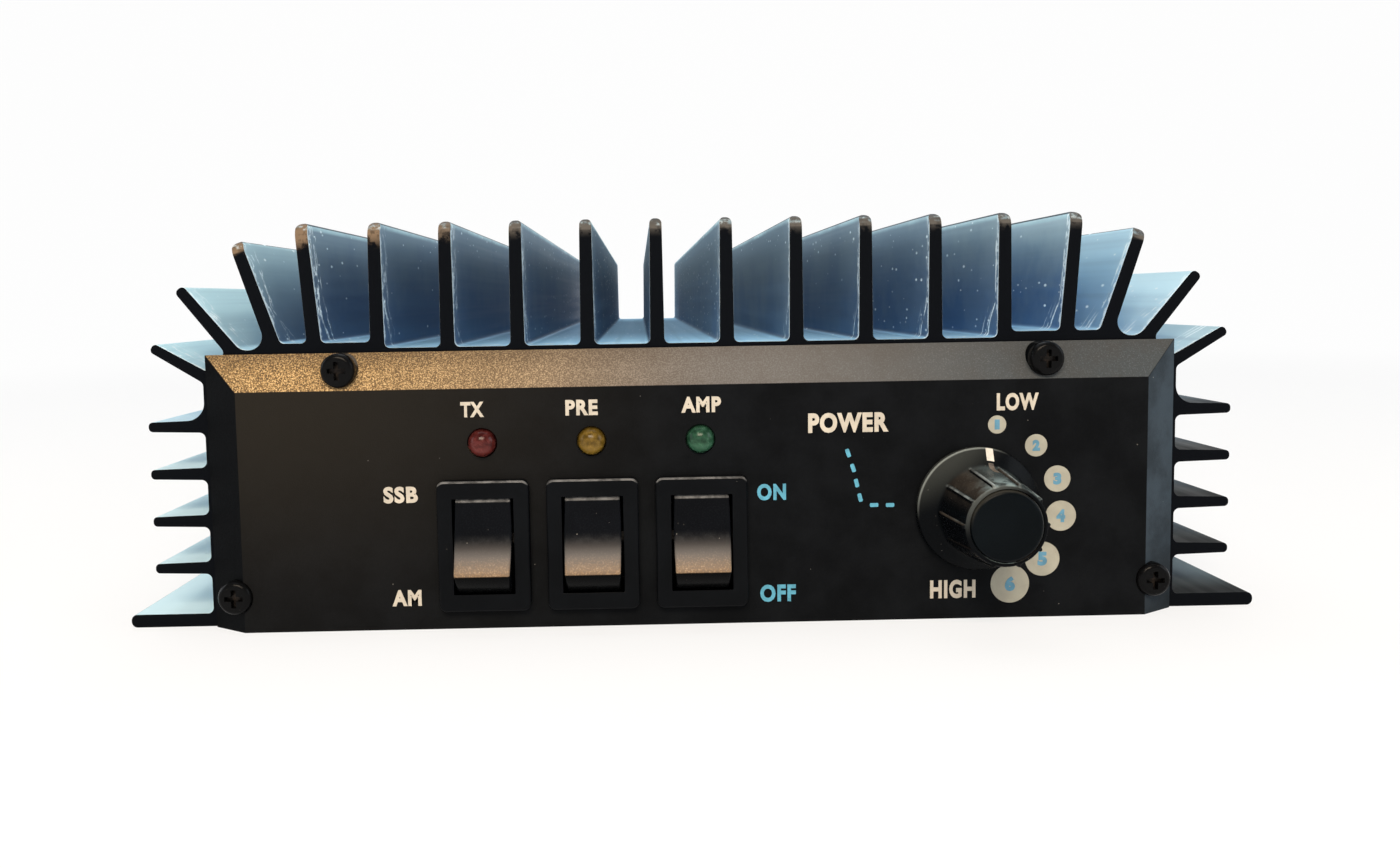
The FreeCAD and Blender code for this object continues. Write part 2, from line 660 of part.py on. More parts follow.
# ---- end trays ----
def tray_blank():
    """Bevelled front tray before its openings are cut, with its pocket and screw seats."""
    rim = rectangle(RIM_HALF, 0, RIM_TOP, 0)
    edge = prism_y(rim, -HALF - TRAY_EDGE, -HALF)
    outer = [Vector(x, -HALF - TRAY_EDGE, z) for x, z, _ in rim]
    face = [Vector(x, -FACE_Y, z) for x, z, _ in rectangle(FACE_HALF, 0, FACE_TOP, 0)]
    wires = [Part.makePolygon(ring + ring[:1]) for ring in (outer, face)]
    slope = Part.makeLoft(wires, True, True)
    soft = [e for e in slope.Edges if e.BoundBox.YMin < -FACE_Y + 1e-6 and e.BoundBox.ZMax > 1e-6]
    slope = slope.makeFillet(TRAY_SOFT, soft)
    tray = edge.fuse(slope)
    seat_y = -HALF - TRAY_EDGE - (TRAY_DEPTH - TRAY_EDGE) / 2 - SEAT_RISE
    for x, z in tray_screw_spots():
        tray = tray.fuse(rod_y(PAN_R - FIT, seat_y, -HALF, x, z))
        tray = tray.cut(rod_y(PAN_R + FIT, -FACE_Y - OVER, seat_y, x, z))
    pocket_half, pocket_top = CAVITY_HALF - EASE, CEILING - EASE
    tray = tray.cut(block(-pocket_half, pocket_half, -BACK_Y, -HALF + OVER, TRAY_LIP, pocket_top))
    for x, z in tray_screw_spots():
        tray = tray.cut(rod_y(CLEAR_R, -FACE_Y - OVER, -HALF + OVER, x, z))
    return tray.removeSplitter()


def front_panel():
    """Front tray with the openings for the switches, lights and knob."""
    tray = tray_blank()
    for _, x in ROCKER_PLACES:
        tray = tray.cut(block(x - FRAME_W / 2 - EASE / 2, x + FRAME_W / 2 + EASE / 2,
                              -FACE_Y - OVER, -BACK_Y + OVER,
                              ROCKER_Z - FRAME_H / 2 - EASE / 2, ROCKER_Z + FRAME_H / 2 + EASE / 2))
        tray = tray.cut(rod_y(LED_R + FIT, -FACE_Y - OVER, -BACK_Y + OVER, x, LED_Z))
    return tray.cut(rod_y(BUSH_R + FIT, -FACE_Y - OVER, -BACK_Y + OVER, KNOB_X, KNOB_Z))


def socket_screw_spots():
    """(x, z) of the screws through both socket flanges."""
    half = SOCKET_HOLE_STEP / 2
    return [(side * SOCKET_X + dx, REAR_Z + dz) for side in (-1, 1)
            for dx in (-half, half) for dz in (-half, half)]


def rear_panel():
    """Rear tray with the openings for the sockets, fuses and supply lead."""
    tray = mirror_y(tray_blank())
    holes = [(side * SOCKET_X, SOCKET_NECK_R + FIT) for side in (-1, 1)]
    holes += [(x, HOLDER_R + FIT) for _, x in FUSE_PLACES]
    holes.append((GROMMET_X, GROMMET_NECK_R + FIT))
    for x, radius in holes:
        tray = tray.cut(rod_y(radius, BACK_Y - OVER, FACE_Y + OVER, x, REAR_Z))
    for x, z in socket_screw_spots():
        tray = tray.cut(rod_y(CLEAR_R, BACK_Y - OVER, FACE_Y + OVER, x, z))
    return tray


def tray_screws(front):
    """The four pan head screws of one tray."""
    seat = HALF + TRAY_EDGE + (TRAY_DEPTH - TRAY_EDGE) / 2 + SEAT_RISE
    screw = moved(pan_screw(seat - HALF + PANEL_SCREW_GRIP), y=-seat)
    screws = [moved(screw, x, 0, z) for x, z in tray_screw_spots()]
    return screws if front else [mirror_y(item) for item in screws]


# ---- rocker switches ----
def rocker_frame():
    """Snap-in body and bezel of a rocker, about x = 0, in place along Y and Z."""
    half_h = BEZEL_H / 2
    bezel = prism_y(rectangle(BEZEL_W / 2, -half_h, half_h, BEZEL_ROUND),
                    -FACE_Y - BEZEL_PROUD, -FACE_Y)
    rim = [e for e in bezel.Edges if e.BoundBox.YMax < -FACE_Y - BEZEL_PROUD + 1e-6]
    bezel = bezel.makeFillet(BEZEL_SOFT, rim)
    back = -FACE_Y + FRAME_DEPTH
    frame = bezel.fuse(block(-FRAME_W / 2, FRAME_W / 2, -FACE_Y, back, -FRAME_H / 2, FRAME_H / 2))
    pivot = pivot_y()
    half_w = MOUTH_W / 2
    sweep = PADDLE_R + GAP
    frame = frame.cut(rod_x(sweep, -half_w, half_w, pivot, 0))
    chord = sweep * math.sin(math.acos(PIVOT_DEPTH / sweep))
    frame = frame.cut(block(-half_w, half_w, pivot, back - FRAME_BACK, -chord, chord))
    window = [block(-half_w, half_w, -FACE_Y + TRAY_FACE, pivot + sweep / 2, side * chord,
                    side * (FRAME_H / 2 + OVER)) for side in (-1, 1)]
    frame = frame.cut(window)
    bore = half_w + PIVOT_BITE
    frame = frame.cut(rod_x(PIVOT_R + RUN, -bore, bore, pivot, 0))
    return moved(frame, z=ROCKER_Z)


def pivot_y():
    """Place of the rocker pivots along Y."""
    return -FACE_Y - BEZEL_PROUD + PIVOT_DEPTH


def rocker_paddle():
    """Concave rocker with its trunnions, top end pressed in, about x = 0."""
    def polar(angle, radius=PADDLE_R):
        return Vector(0, -radius * math.cos(math.radians(angle)),
                      radius * math.sin(math.radians(angle)))

    top, low = polar(PADDLE_SPREAD), polar(-PADDLE_SPREAD)
    top_end, low_end = polar(PADDLE_SPREAD + PADDLE_SKIRT), polar(-PADDLE_SPREAD - PADDLE_SKIRT)
    half_skirt = PADDLE_SPREAD + PADDLE_SKIRT / 2
    edges = [Part.Arc(low, Vector(0, low.y + PADDLE_DISH, 0), top).toShape(),
             Part.Arc(top, polar(half_skirt), top_end).toShape(),
             Part.makeLine(top_end, low_end),
             Part.Arc(low_end, polar(-half_skirt), low).toShape()]
    half_w = MOUTH_W / 2 - GAP
    profile = Part.Face(Part.Wire(edges))
    paddle = moved(profile, x=-half_w).extrude(Vector(2 * half_w, 0, 0))
    side = [Part.Arc(Vector(-half_w + PADDLE_BOW, 0, PADDLE_R), Vector(-half_w, 0, 0),
                     Vector(-half_w + PADDLE_BOW, 0, -PADDLE_R)).toShape(),
            Part.makeLine(Vector(-half_w + PADDLE_BOW, 0, -PADDLE_R),
                          Vector(half_w - PADDLE_BOW, 0, -PADDLE_R)),
            Part.Arc(Vector(half_w - PADDLE_BOW, 0, -PADDLE_R), Vector(half_w, 0, 0),
                     Vector(half_w - PADDLE_BOW, 0, PADDLE_R)).toShape(),
            Part.makeLine(Vector(half_w - PADDLE_BOW, 0, PADDLE_R),
                          Vector(-half_w + PADDLE_BOW, 0, PADDLE_R))]
    barrel = Part.Face(Part.Wire(side)).extrude(Vector(0, -PADDLE_R - OVER, 0))
    paddle = paddle.common(barrel)
    soft = [e for e in paddle.Edges if e.BoundBox.YMin < top_end.y - PADDLE_SOFT]
    paddle = paddle.makeFillet(PADDLE_SOFT, soft)
    reach = MOUTH_W / 2 + PIVOT_BITE - GAP
    neck = block(-HUB_R, HUB_R, top_end.y - OVER, 0, -HUB_R, HUB_R)
    hub = rod_x(HUB_R, -half_w, half_w, 0, 0)
    plunger = block(-PLUNGER_W / 2, PLUNGER_W / 2, 0, PLUNGER_LONG, -PLUNGER_W / 2, PLUNGER_W / 2)
    paddle = joined([paddle, neck, hub, plunger, rod_x(PIVOT_R, -reach, reach, 0, 0)])
    paddle = turned(paddle, Vector(0, 0, 0), X_AXIS, -PADDLE_TILT)
    return moved(paddle, y=pivot_y(), z=ROCKER_Z)


def rocker_blades(x):
    """The two solder blades behind a rocker."""
    back = -FACE_Y + FRAME_DEPTH
    return [block(x - BLADE_W / 2, x + BLADE_W / 2, back, back + BLADE_LONG,
                  ROCKER_Z + side * BLADE_STEP / 2 - BLADE_THICK / 2,
                  ROCKER_Z + side * BLADE_STEP / 2 + BLADE_THICK / 2) for side in (-1, 1)]


# ---- indicator lights ----
def led_lens(x):
    """Domed light that pokes through the front tray."""
    tip = -FACE_Y - LED_PROUD
    base = tip + LED_LONG
    body = rod_y(LED_R, tip + LED_R, base, x, LED_Z)
    dome = Part.makeSphere(LED_R, Vector(x, tip + LED_R, LED_Z))
    rim = rod_y(LED_R + LED_RIM, base - LED_RIM_THICK, base, x, LED_Z)
    return joined([body, dome, rim])


def led_leads(x):
    """Two bent wires from a light up to the board."""
    base = -FACE_Y - LED_PROUD + LED_LONG
    bend = BOARD_Y0 + LEAD_BACK
    leads = []
    for side in (-1, 1):
        mid = x + side * LEAD_STEP / 2
        run = block(mid - LEAD_W / 2, mid + LEAD_W / 2, base, bend + LEAD_W,
                    LED_Z - LEAD_W / 2, LED_Z + LEAD_W / 2)
        rise = block(mid - LEAD_W / 2, mid + LEAD_W / 2, bend, bend + LEAD_W,
                     LED_Z - LEAD_W / 2, BOARD_LOW)
        leads.append(joined([run, rise]))
    return leads


# ---- power knob and its switch ----
def knob_y(height):
    """Place along Y of a height above the front face."""
    return -FACE_Y - height


def skirt_top():
    """Height of the skirt's inner edge above the front face."""
    return KNOB_LIFT + SKIRT_RISE


def knob_body():
    """Skirted knob with ribs, hollow over the nut and bored for the shaft."""
    under, top = KNOB_LIFT, skirt_top()
    profile = [(0, under), (SKIRT_R, under), (SKIRT_R, under + SKIRT_EDGE),
               (KNOB_BODY_R + RIB_RISE, top), (KNOB_BODY_R, top + RIB_RISE),
               (KNOB_FRONT_R, KNOB_HEIGHT - KNOB_CHAMFER),
               (KNOB_FRONT_R - KNOB_CHAMFER, KNOB_HEIGHT), (0, KNOB_HEIGHT)]
    body = spin_y([(radius, knob_y(height)) for radius, height in profile], KNOB_X, KNOB_Z)
    slope = math.degrees(math.atan2(KNOB_BODY_R - KNOB_FRONT_R, KNOB_HEIGHT - top))
    rib = block(-RIB_W / 2, RIB_W / 2, knob_y(KNOB_HEIGHT - KNOB_CHAMFER), knob_y(top - RIB_RISE),
                KNOB_BODY_R - OVER, KNOB_BODY_R + RIB_RISE)
    rib = turned(rib, Vector(0, knob_y(top), KNOB_BODY_R), X_AXIS, slope)
    rib = moved(rib, KNOB_X, 0, KNOB_Z)
    centre = Vector(KNOB_X, 0, KNOB_Z)
    ribs = [turned(rib, centre, Y_AXIS, RIB_START + i * 360 / KNOB_RIBS)
            for i in range(KNOB_RIBS)]
    body = joined([body] + ribs)
    recess_r = NUT_FLATS / math.sqrt(3) + GAP
    cuts = [rod_y(recess_r, knob_y(BUSH_PROUD + GAP), knob_y(under - OVER), KNOB_X, KNOB_Z),
            rod_y(SHAFT_R + FIT, knob_y(KNOB_HEIGHT - SHAFT_FRONT_GAP), knob_y(0), KNOB_X, KNOB_Z),
            rod_y(CAP_R + FIT, knob_y(KNOB_HEIGHT + OVER), knob_y(KNOB_HEIGHT - CAP_SINK),
                  KNOB_X, KNOB_Z),
            pointer_blank(FIT)]
    return body.cut(cuts)


def pointer_blank(ease):
    """Bar that lies along the skirt under the pointer mark, grown by an ease."""
    inner = KNOB_BODY_R + RIB_RISE
    slope = math.atan2(SKIRT_RISE - SKIRT_EDGE, SKIRT_R - inner)
    run = (SKIRT_R - inner) / math.cos(slope)
    bar = block(-POINTER_W / 2 - ease, POINTER_W / 2 + ease, 0, POINTER_SINK + ease, -run, ease)
    bar = turned(bar, Vector(0, 0, 0), X_AXIS, -math.degrees(slope))
    bar = moved(bar, KNOB_X, knob_y(KNOB_LIFT + SKIRT_EDGE), KNOB_Z + SKIRT_R)
    return turned(bar, Vector(KNOB_X, 0, KNOB_Z), Y_AXIS, POINTER_ANGLE)


def knob_cap():
    """Domed disc let into the knob's front."""
    front, back = knob_y(KNOB_HEIGHT + CAP_PROUD), knob_y(KNOB_HEIGHT - CAP_SINK)
    cap = rod_y(CAP_R, front, back, KNOB_X, KNOB_Z)
    rim = [e for e in cap.Edges if e.BoundBox.YMax < front + 1e-6]
    return cap.makeFillet(CAP_SOFT, rim)


def switch_shaft():
    """Round shaft from the knob into the stepped switch."""
    return rod_y(SHAFT_R, knob_y(KNOB_HEIGHT - SHAFT_FRONT_GAP), -BACK_Y + SHAFT_BITE,
                 KNOB_X, KNOB_Z)


def rotary_switch():
    """Round switch body with its bush, behind the front tray."""
    body = rod_y(SWITCH_R, -BACK_Y, -BACK_Y + SWITCH_DEPTH, KNOB_X, KNOB_Z)
    bush = rod_y(BUSH_R, knob_y(BUSH_PROUD), -BACK_Y + OVER, KNOB_X, KNOB_Z)
    bore = rod_y(SHAFT_R + RUN, knob_y(BUSH_PROUD + OVER), -BACK_Y + SHAFT_BITE + GAP,
                 KNOB_X, KNOB_Z)
    return joined([body, bush]).cut(bore)


def rotary_switch_nut():
    """Thin hexagon nut on the bush, hidden under the knob."""
    nut = hex_y(NUT_FLATS, knob_y(NUT_THICK), knob_y(0), KNOB_X, KNOB_Z)
    return nut.cut(rod_y(BUSH_R + FIT, knob_y(NUT_THICK + OVER), knob_y(-OVER), KNOB_X, KNOB_Z))


def rotary_switch_pins():
    """Solder pins in a ring behind the stepped switch."""
    back = -BACK_Y + SWITCH_DEPTH
    pins = []
    for i in range(SWITCH_PINS):
        angle = 2 * math.pi * i / SWITCH_PINS
        pins.append(rod_y(SWITCH_PIN_R, back, back + SWITCH_PIN_LONG,
                          KNOB_X + SWITCH_PIN_RING * math.cos(angle),
                          KNOB_Z + SWITCH_PIN_RING * math.sin(angle)))
    return pins


# ---- rear sockets ----
def socket_shell(x):
    """Square flange with a threaded barrel outside and a neck inside."""
    front = FACE_Y + SOCKET_FLANGE_THICK
    half = SOCKET_FLANGE / 2
    corners = rectangle(half, REAR_Z - half, REAR_Z + half, SOCKET_FLANGE_ROUND)
    flange = moved(prism_y(corners, FACE_Y, front), x=x)
    barrel = rod_y(SOCKET_THREAD_R, front, front + SOCKET_THREAD_LONG, x, REAR_Z)
    neck = rod_y(SOCKET_NECK_R, FACE_Y - SOCKET_NECK_LONG, FACE_Y, x, REAR_Z)
    shell = joined([flange, barrel, neck])
    cuts = [rod_y(SOCKET_BORE_R, FACE_Y - SOCKET_NECK_LONG - OVER,
                  front + SOCKET_THREAD_LONG + OVER, x, REAR_Z)]
    cuts += [rod_y(CLEAR_R, FACE_Y - OVER, front + OVER, sx, sz)
             for sx, sz in socket_screw_spots() if abs(sx - x) < half]
    return shell.cut(cuts)


def socket_dielectric(x):
    """Insulating plug in the bore of a socket."""
    start = FACE_Y - SOCKET_NECK_LONG
    return tube_y(SOCKET_BORE_R - FIT, CONTACT_R + FIT, start, start + DIELECTRIC_LONG, x, REAR_Z)


def socket_contact(x):
    """Centre contact: a tube for the plug's pin in front, a solder pot behind."""
    mouth = FACE_Y + SOCKET_FLANGE_THICK + SOCKET_THREAD_LONG - CONTACT_SHORT
    rear = FACE_Y - SOCKET_NECK_LONG - POT_LONG
    pin = rod_y(CONTACT_R, rear, mouth, x, REAR_Z)
    return pin.cut(rod_y(CONTACT_BORE_R, mouth - CONTACT_BORE_LONG, mouth + OVER, x, REAR_Z))


def socket_screws():
    """Pan head screws of both socket flanges."""
    seat = FACE_Y + SOCKET_FLANGE_THICK
    grip = SOCKET_FLANGE_THICK + TRAY_FACE + M3_NUT_THICK + TAP_SPARE
    screw = moved(mirror_y(pan_screw(grip)), y=seat)
    return [moved(screw, x, 0, z) for x, z in socket_screw_spots()]


def socket_nuts():
    """Nuts behind the rear tray on the socket screws."""
    nuts = []
    for x, z in socket_screw_spots():
        nut = hex_y(M3_NUT_FLATS, BACK_Y - M3_NUT_THICK, BACK_Y, x, z)
        nuts.append(nut.cut(rod_y(M3_R + FIT, BACK_Y - M3_NUT_THICK - OVER, BACK_Y + OVER, x, z)))
    return nuts


# ---- fuse holders ----
def cap_front():
    """Outer face of the fuse holder flange, where the cap seats."""
    return FACE_Y + HOLDER_FLANGE_THICK + GAP


def fuse_span():
    """Inner and outer end of a fuse along Y."""
    outer = cap_front() - CAP_SLEEVE_LONG + CAP_BITE
    return outer - FUSE_LONG, outer


def sleeve_r():
    """Radius of the cap's sleeve around the fuse end."""
    return FUSE_R + FIT + CAP_SLEEVE_WALL


def fuse_holder(x):
    """Round holder with its flange outside and its closed end inside."""
    inner, _ = fuse_span()
    rear = inner - GAP - HOLDER_BOTTOM
    face = FACE_Y + HOLDER_FLANGE_THICK
    body = joined([rod_y(HOLDER_R, rear, FACE_Y, x, REAR_Z),
                   rod_y(HOLDER_FLANGE_R, FACE_Y, face, x, REAR_Z),
                   block(x - BLADE_W / 2, x + BLADE_W / 2, rear - BLADE_LONG, rear,
                         REAR_Z - BLADE_THICK / 2, REAR_Z + BLADE_THICK / 2)])
    mouth = rod_y(sleeve_r() + GAP, cap_front() - CAP_SLEEVE_LONG - 2 * GAP, face + OVER, x, REAR_Z)
    return body.cut([rod_y(FUSE_R + GAP, inner - GAP, face + OVER, x, REAR_Z), mouth])


def fuse_holder_nut(x):
    """Hexagon nut that clamps a fuse holder from inside."""
    nut = hex_y(HOLDER_NUT_FLATS, BACK_Y - HOLDER_NUT_THICK, BACK_Y, x, REAR_Z)
    return nut.cut(rod_y(HOLDER_R + FIT, BACK_Y - HOLDER_NUT_THICK - OVER, BACK_Y + OVER, x, REAR_Z))


def fuse_cap(x):
    """Fluted screw cap with a coin slot and a sleeve round the fuse end."""
    seat, outer = cap_front(), fuse_span()[1]
    end = seat + CAP_GRIP_LONG
    grip = rod_y(CAP_GRIP_R, seat, end, x, REAR_Z)
    rim = [e for e in grip.Edges if e.BoundBox.YMin > end - 1e-6]
    grip = grip.makeFillet(CAP_SOFT, rim)
    sleeve = rod_y(sleeve_r(), seat - CAP_SLEEVE_LONG, seat, x, REAR_Z)
    cap = joined([grip, sleeve])
    flute = rod_y(FLUTE_R, seat - OVER, end + OVER, x, REAR_Z + CAP_GRIP_R + FLUTE_R / 2)
    centre = Vector(x, 0, REAR_Z)
    cuts = [turned(flute, centre, Y_AXIS, i * 360 / CAP_FLUTES) for i in range(CAP_FLUTES)]
    cuts.append(block(x - SLOT_LONG / 2, x + SLOT_LONG / 2, end - SLOT_DEPTH, end + OVER,
                      REAR_Z - SLOT_W / 2, REAR_Z + SLOT_W / 2))
    cuts.append(rod_y(FUSE_R + RUN, seat - CAP_SLEEVE_LONG - OVER, outer + RUN, x, REAR_Z))
    return cap.cut(cuts)


def fuse_ends(x):
    """The two metal ends of a fuse."""
    inner, outer = fuse_span()
    shell = FUSE_R - FUSE_GLASS_R
    ends = []
    for start, stop, hollow in ((inner, inner + FUSE_END, (inner + shell, inner + FUSE_END + OVER)),
                                (outer - FUSE_END, outer, (outer - FUSE_END - OVER, outer - shell))):
        cup = rod_y(FUSE_R, start, stop, x, REAR_Z)
        ends.append(cup.cut(rod_y(FUSE_GLASS_R + FIT / 2, *hollow, x, REAR_Z)))
    return ends


def fuse_tube(x):
    """Glass tube of a fuse, from one metal end to the other."""
    inner, outer = fuse_span()
    shell = FUSE_R - FUSE_GLASS_R
    return rod_y(FUSE_GLASS_R, inner + shell, outer - shell, x, REAR_Z)


# ---- power inlet ----
def power_grommet():
    """Rubber ring in the rear tray for the supply lead."""
    lips = []
    for y0, y1 in ((FACE_Y, FACE_Y + GROMMET_LIP), (BACK_Y - GROMMET_LIP, BACK_Y)):
        lip = rod_y(GROMMET_R, y0, y1, GROMMET_X, REAR_Z)
        outer = y1 if y0 >= FACE_Y else y0
        rim = [e for e in lip.Edges if abs(e.BoundBox.Center.y - outer) < 1e-6]
        lips.append(lip.makeFillet(GROMMET_SOFT, rim))
    ring = joined(lips + [rod_y(GROMMET_NECK_R, BACK_Y, FACE_Y, GROMMET_X, REAR_Z)])
    return ring.cut(rod_y(GROMMET_BORE_R, BACK_Y - GROMMET_LIP - OVER,
                          FACE_Y + GROMMET_LIP + OVER, GROMMET_X, REAR_Z))


# ---- main board and what it carries ----
def main_board():
    """Circuit board under the roof, cut out round the transistors."""
    board = block(-BOARD_HALF, BOARD_HALF, BOARD_Y0, BOARD_Y1, BOARD_LOW, BOARD_TOP)
    low, high = BOARD_LOW - OVER, BOARD_TOP + OVER
    half_w = TRANSISTOR_W / 2 + CUTOUT_EASE
    half_l = TRANSISTOR_BODY / 2 + CUTOUT_EASE
    cuts = [block(x - half_w, x + half_w, -half_l, half_l, low, high) for x in TRANSISTOR_X]
    cuts += [rod_z(ACCESS_R, low, high, x, y) for x, y in transistor_screw_spots()]
    cuts += [rod_z(CLEAR_R, low, high, x, y) for x, y in STANDOFF_SPOTS]
    return board.cut(cuts)


def board_standoffs():
    """Spacer tubes between the roof and the board."""
    return [rod_z(STANDOFF_R, BOARD_TOP, CEILING, x, y).cut(
        rod_z(CLEAR_R, BOARD_TOP - OVER, CEILING + OVER, x, y)) for x, y in STANDOFF_SPOTS]


def rf_transistors():
    """Flanged power transistors bolted up against the roof."""
    half_w, half_f, half_b = TRANSISTOR_W / 2, TRANSISTOR_FLANGE / 2, TRANSISTOR_BODY / 2
    flange_low = CEILING - TRANSISTOR_FLANGE_THICK
    made = []
    for x in TRANSISTOR_X:
        flange = block(x - half_w, x + half_w, -half_f, half_f, flange_low, CEILING)
        body = block(x - half_w, x + half_w, -half_b, half_b,
                     flange_low - TRANSISTOR_BODY_HEIGHT, flange_low)
        reach = half_w + TRANSISTOR_TAB
        tabs = block(x - reach, x + reach, -TRANSISTOR_TAB_W / 2, TRANSISTOR_TAB_W / 2,
                     BOARD_TOP, BOARD_TOP + TRANSISTOR_TAB_THICK)
        holes = [rod_z(CLEAR_R, flange_low - OVER, CEILING + OVER, x, side * TRANSISTOR_HOLE_STEP / 2)
                 for side in (-1, 1)]
        made.append(joined([flange, body, tabs]).cut(holes))
    return made


def racetrack(half_run, radius, wire_r, x, y, z):
    """Closed wire loop: two straight runs along X joined by half rings."""
    runs = [rod_x(wire_r, x - half_run, x + half_run, y + side * radius, z) for side in (-1, 1)]
    bends = []
    for side, start in ((1, -90), (-1, 90)):
        ring = Part.makeTorus(radius, wire_r, Vector(0, 0, 0), Z_AXIS, -180, 180, 180)
        ring = turned(ring, Vector(0, 0, 0), Z_AXIS, start)
        bends.append(moved(ring, x + side * half_run, y, z))
    return joined(runs + bends)


def output_transformer():
    """Two ferrite sleeves between end boards, hung under the main board."""
    mid_z = BOARD_LOW - SLEEVE_R - END_SPARE
    half = SLEEVE_LONG / 2
    parts = []
    for side in (-1, 1):
        y = OUTPUT_Y + side * SLEEVE_STEP / 2
        sleeve = rod_x(SLEEVE_R, -half, half, y, mid_z)
        parts.append(sleeve.cut(rod_x(SLEEVE_BORE_R, -half - OVER, half + OVER, y, mid_z)))
    reach_y = SLEEVE_STEP / 2 + SLEEVE_R + END_SPARE
    for side in (-1, 1):
        plate = block(side * half, side * (half + SLEEVE_END), OUTPUT_Y - reach_y,
                      OUTPUT_Y + reach_y, mid_z - SLEEVE_R - END_SPARE, BOARD_LOW)
        for offset in (-1, 1):
            plate = plate.cut(rod_x(SLEEVE_BORE_R, -half - SLEEVE_END - OVER,
                                    half + SLEEVE_END + OVER,
                                    OUTPUT_Y + offset * SLEEVE_STEP / 2, mid_z))
        parts.append(plate)
    return parts


def input_transformer():
    """Small two-hole ferrite core under the main board."""
    core = block(-CORE_W / 2, CORE_W / 2, INPUT_Y - CORE_L / 2, INPUT_Y + CORE_L / 2,
                 BOARD_LOW - CORE_H, BOARD_LOW)
    for side in (-1, 1):
        core = core.cut(rod_x(CORE_BORE_R, -CORE_W, CORE_W, INPUT_Y + side * CORE_L / 4,
                              BOARD_LOW - CORE_H / 2))
    return core


def transformer_windings():
    """Wire loops through the output sleeves and through the input core."""
    mid_z = BOARD_LOW - SLEEVE_R - END_SPARE
    step = SLEEVE_BORE_R - WIRE_R
    run = SLEEVE_LONG / 2 + SLEEVE_END + WIRE_R
    loops = [racetrack(run, SLEEVE_STEP / 2, WIRE_R, 0, OUTPUT_Y, mid_z + side * step)
             for side in (-1, 1)]
    fine_z = BOARD_LOW - CORE_H / 2 + CORE_BORE_R - FINE_WIRE_R
    loops.append(racetrack(CORE_W / 2 + FINE_WIRE_R, CORE_L / 4, FINE_WIRE_R, 0, INPUT_Y,
                           fine_z))
    return loops


def relays():
    """Two changeover relays, one for each socket."""
    made = []
    for side in (-1, 1):
        x = side * RELAY_X
        case = block(x - RELAY_W / 2, x + RELAY_W / 2, RELAY_Y - RELAY_L / 2,
                     RELAY_Y + RELAY_L / 2, BOARD_LOW - RELAY_H, BOARD_LOW)
        soft = [e for e in case.Edges if e.BoundBox.ZMin < BOARD_LOW - 1e-6]
        made.append(case.makeFillet(RELAY_SOFT, soft))
    return made


def electrolytic_cans():
    """Round capacitors hung under the board."""
    cans = []
    for x, y in ((CAN_X, INPUT_Y), (CAN_X - CAN_STEP, INPUT_Y), (-CAN_X, INPUT_Y)):
        can = rod_z(CAN_R, BOARD_LOW - CAN_H, BOARD_LOW, x, y)
        rim = [e for e in can.Edges if e.BoundBox.ZMax < BOARD_LOW - CAN_H + 1e-6]
        cans.append(can.makeFillet(CAN_SOFT, rim))
    return cans


def choke_core():
    """Ring core of the supply choke."""
    top = BOARD_LOW - 2 * FINE_WIRE_R - FIT
    ring = rod_z(CHOKE_OUT_R, top - CHOKE_H, top, CHOKE_X, CHOKE_Y)
    return ring.cut(rod_z(CHOKE_IN_R, top - CHOKE_H - OVER, top + OVER, CHOKE_X, CHOKE_Y))


def choke_winding():
    """Turns of square wire round the choke core."""
    thick = 2 * FINE_WIRE_R
    top = BOARD_LOW
    low = top - CHOKE_H - 2 * (thick + FIT)
    outer = block(CHOKE_IN_R - FIT - thick, CHOKE_OUT_R + FIT + thick,
                  -FINE_WIRE_R, FINE_WIRE_R, low, top)
    inner = block(CHOKE_IN_R - 2 * FIT, CHOKE_OUT_R + 2 * FIT, -thick, thick,
                  low + thick, top - thick)
    turn = moved(outer.cut(inner), CHOKE_X, CHOKE_Y, 0)
    centre = Vector(CHOKE_X, CHOKE_Y, 0)
    return [turned(turn, centre, Z_AXIS, i * 360 / CHOKE_TURNS) for i in range(CHOKE_TURNS)]


def attenuator_resistors():
    """Row of resistors that the stepped switch selects."""
    made = []
    for i in range(RESISTORS):
        x = RESISTOR_X + i * RESISTOR_STEP
        z = BOARD_LOW - RESISTOR_R
        half = RESISTOR_LONG / 2
        body = rod_y(RESISTOR_R, RESISTOR_Y - half, RESISTOR_Y + half, x, z)
        lead = rod_y(LEAD_W / 2, RESISTOR_Y - half - RESISTOR_LEG,
                     RESISTOR_Y + half + RESISTOR_LEG, x, z)
        legs = [rod_z(LEAD_W / 2, z, BOARD_LOW, x,
                      RESISTOR_Y + side * (half + RESISTOR_LEG - LEAD_W / 2)) for side in (-1, 1)]
        made.append(joined([body, lead] + legs))
    return made


def mica_capacitors():
    """Row of small moulded capacitors beside the resistors."""
    made = []
    for i in range(MICAS):
        x = MICA_X + i * MICA_STEP
        case = block(x - MICA_W / 2, x + MICA_W / 2, RESISTOR_Y - MICA_L / 2,
                     RESISTOR_Y + MICA_L / 2, BOARD_LOW - MICA_H, BOARD_LOW)
        soft = [e for e in case.Edges if e.BoundBox.ZMin < BOARD_LOW - 1e-6]
        made.append(case.makeFillet(RELAY_SOFT, soft))
    return made


def signal_jumpers():
    """Bent wires from the socket contacts up to the board."""
    start = FACE_Y - SOCKET_NECK_LONG - POT_LONG
    bend = BOARD_Y1 - JUMPER_IN
    made = []
    for side in (-1, 1):
        x = side * SOCKET_X
        knee = Part.makeSphere(FINE_WIRE_R, Vector(x, bend, REAR_Z))
        made.append(joined([rod_y(FINE_WIRE_R, bend, start, x, REAR_Z), knee,
                            rod_z(FINE_WIRE_R, REAR_Z, BOARD_LOW, x, bend)]))
    return made


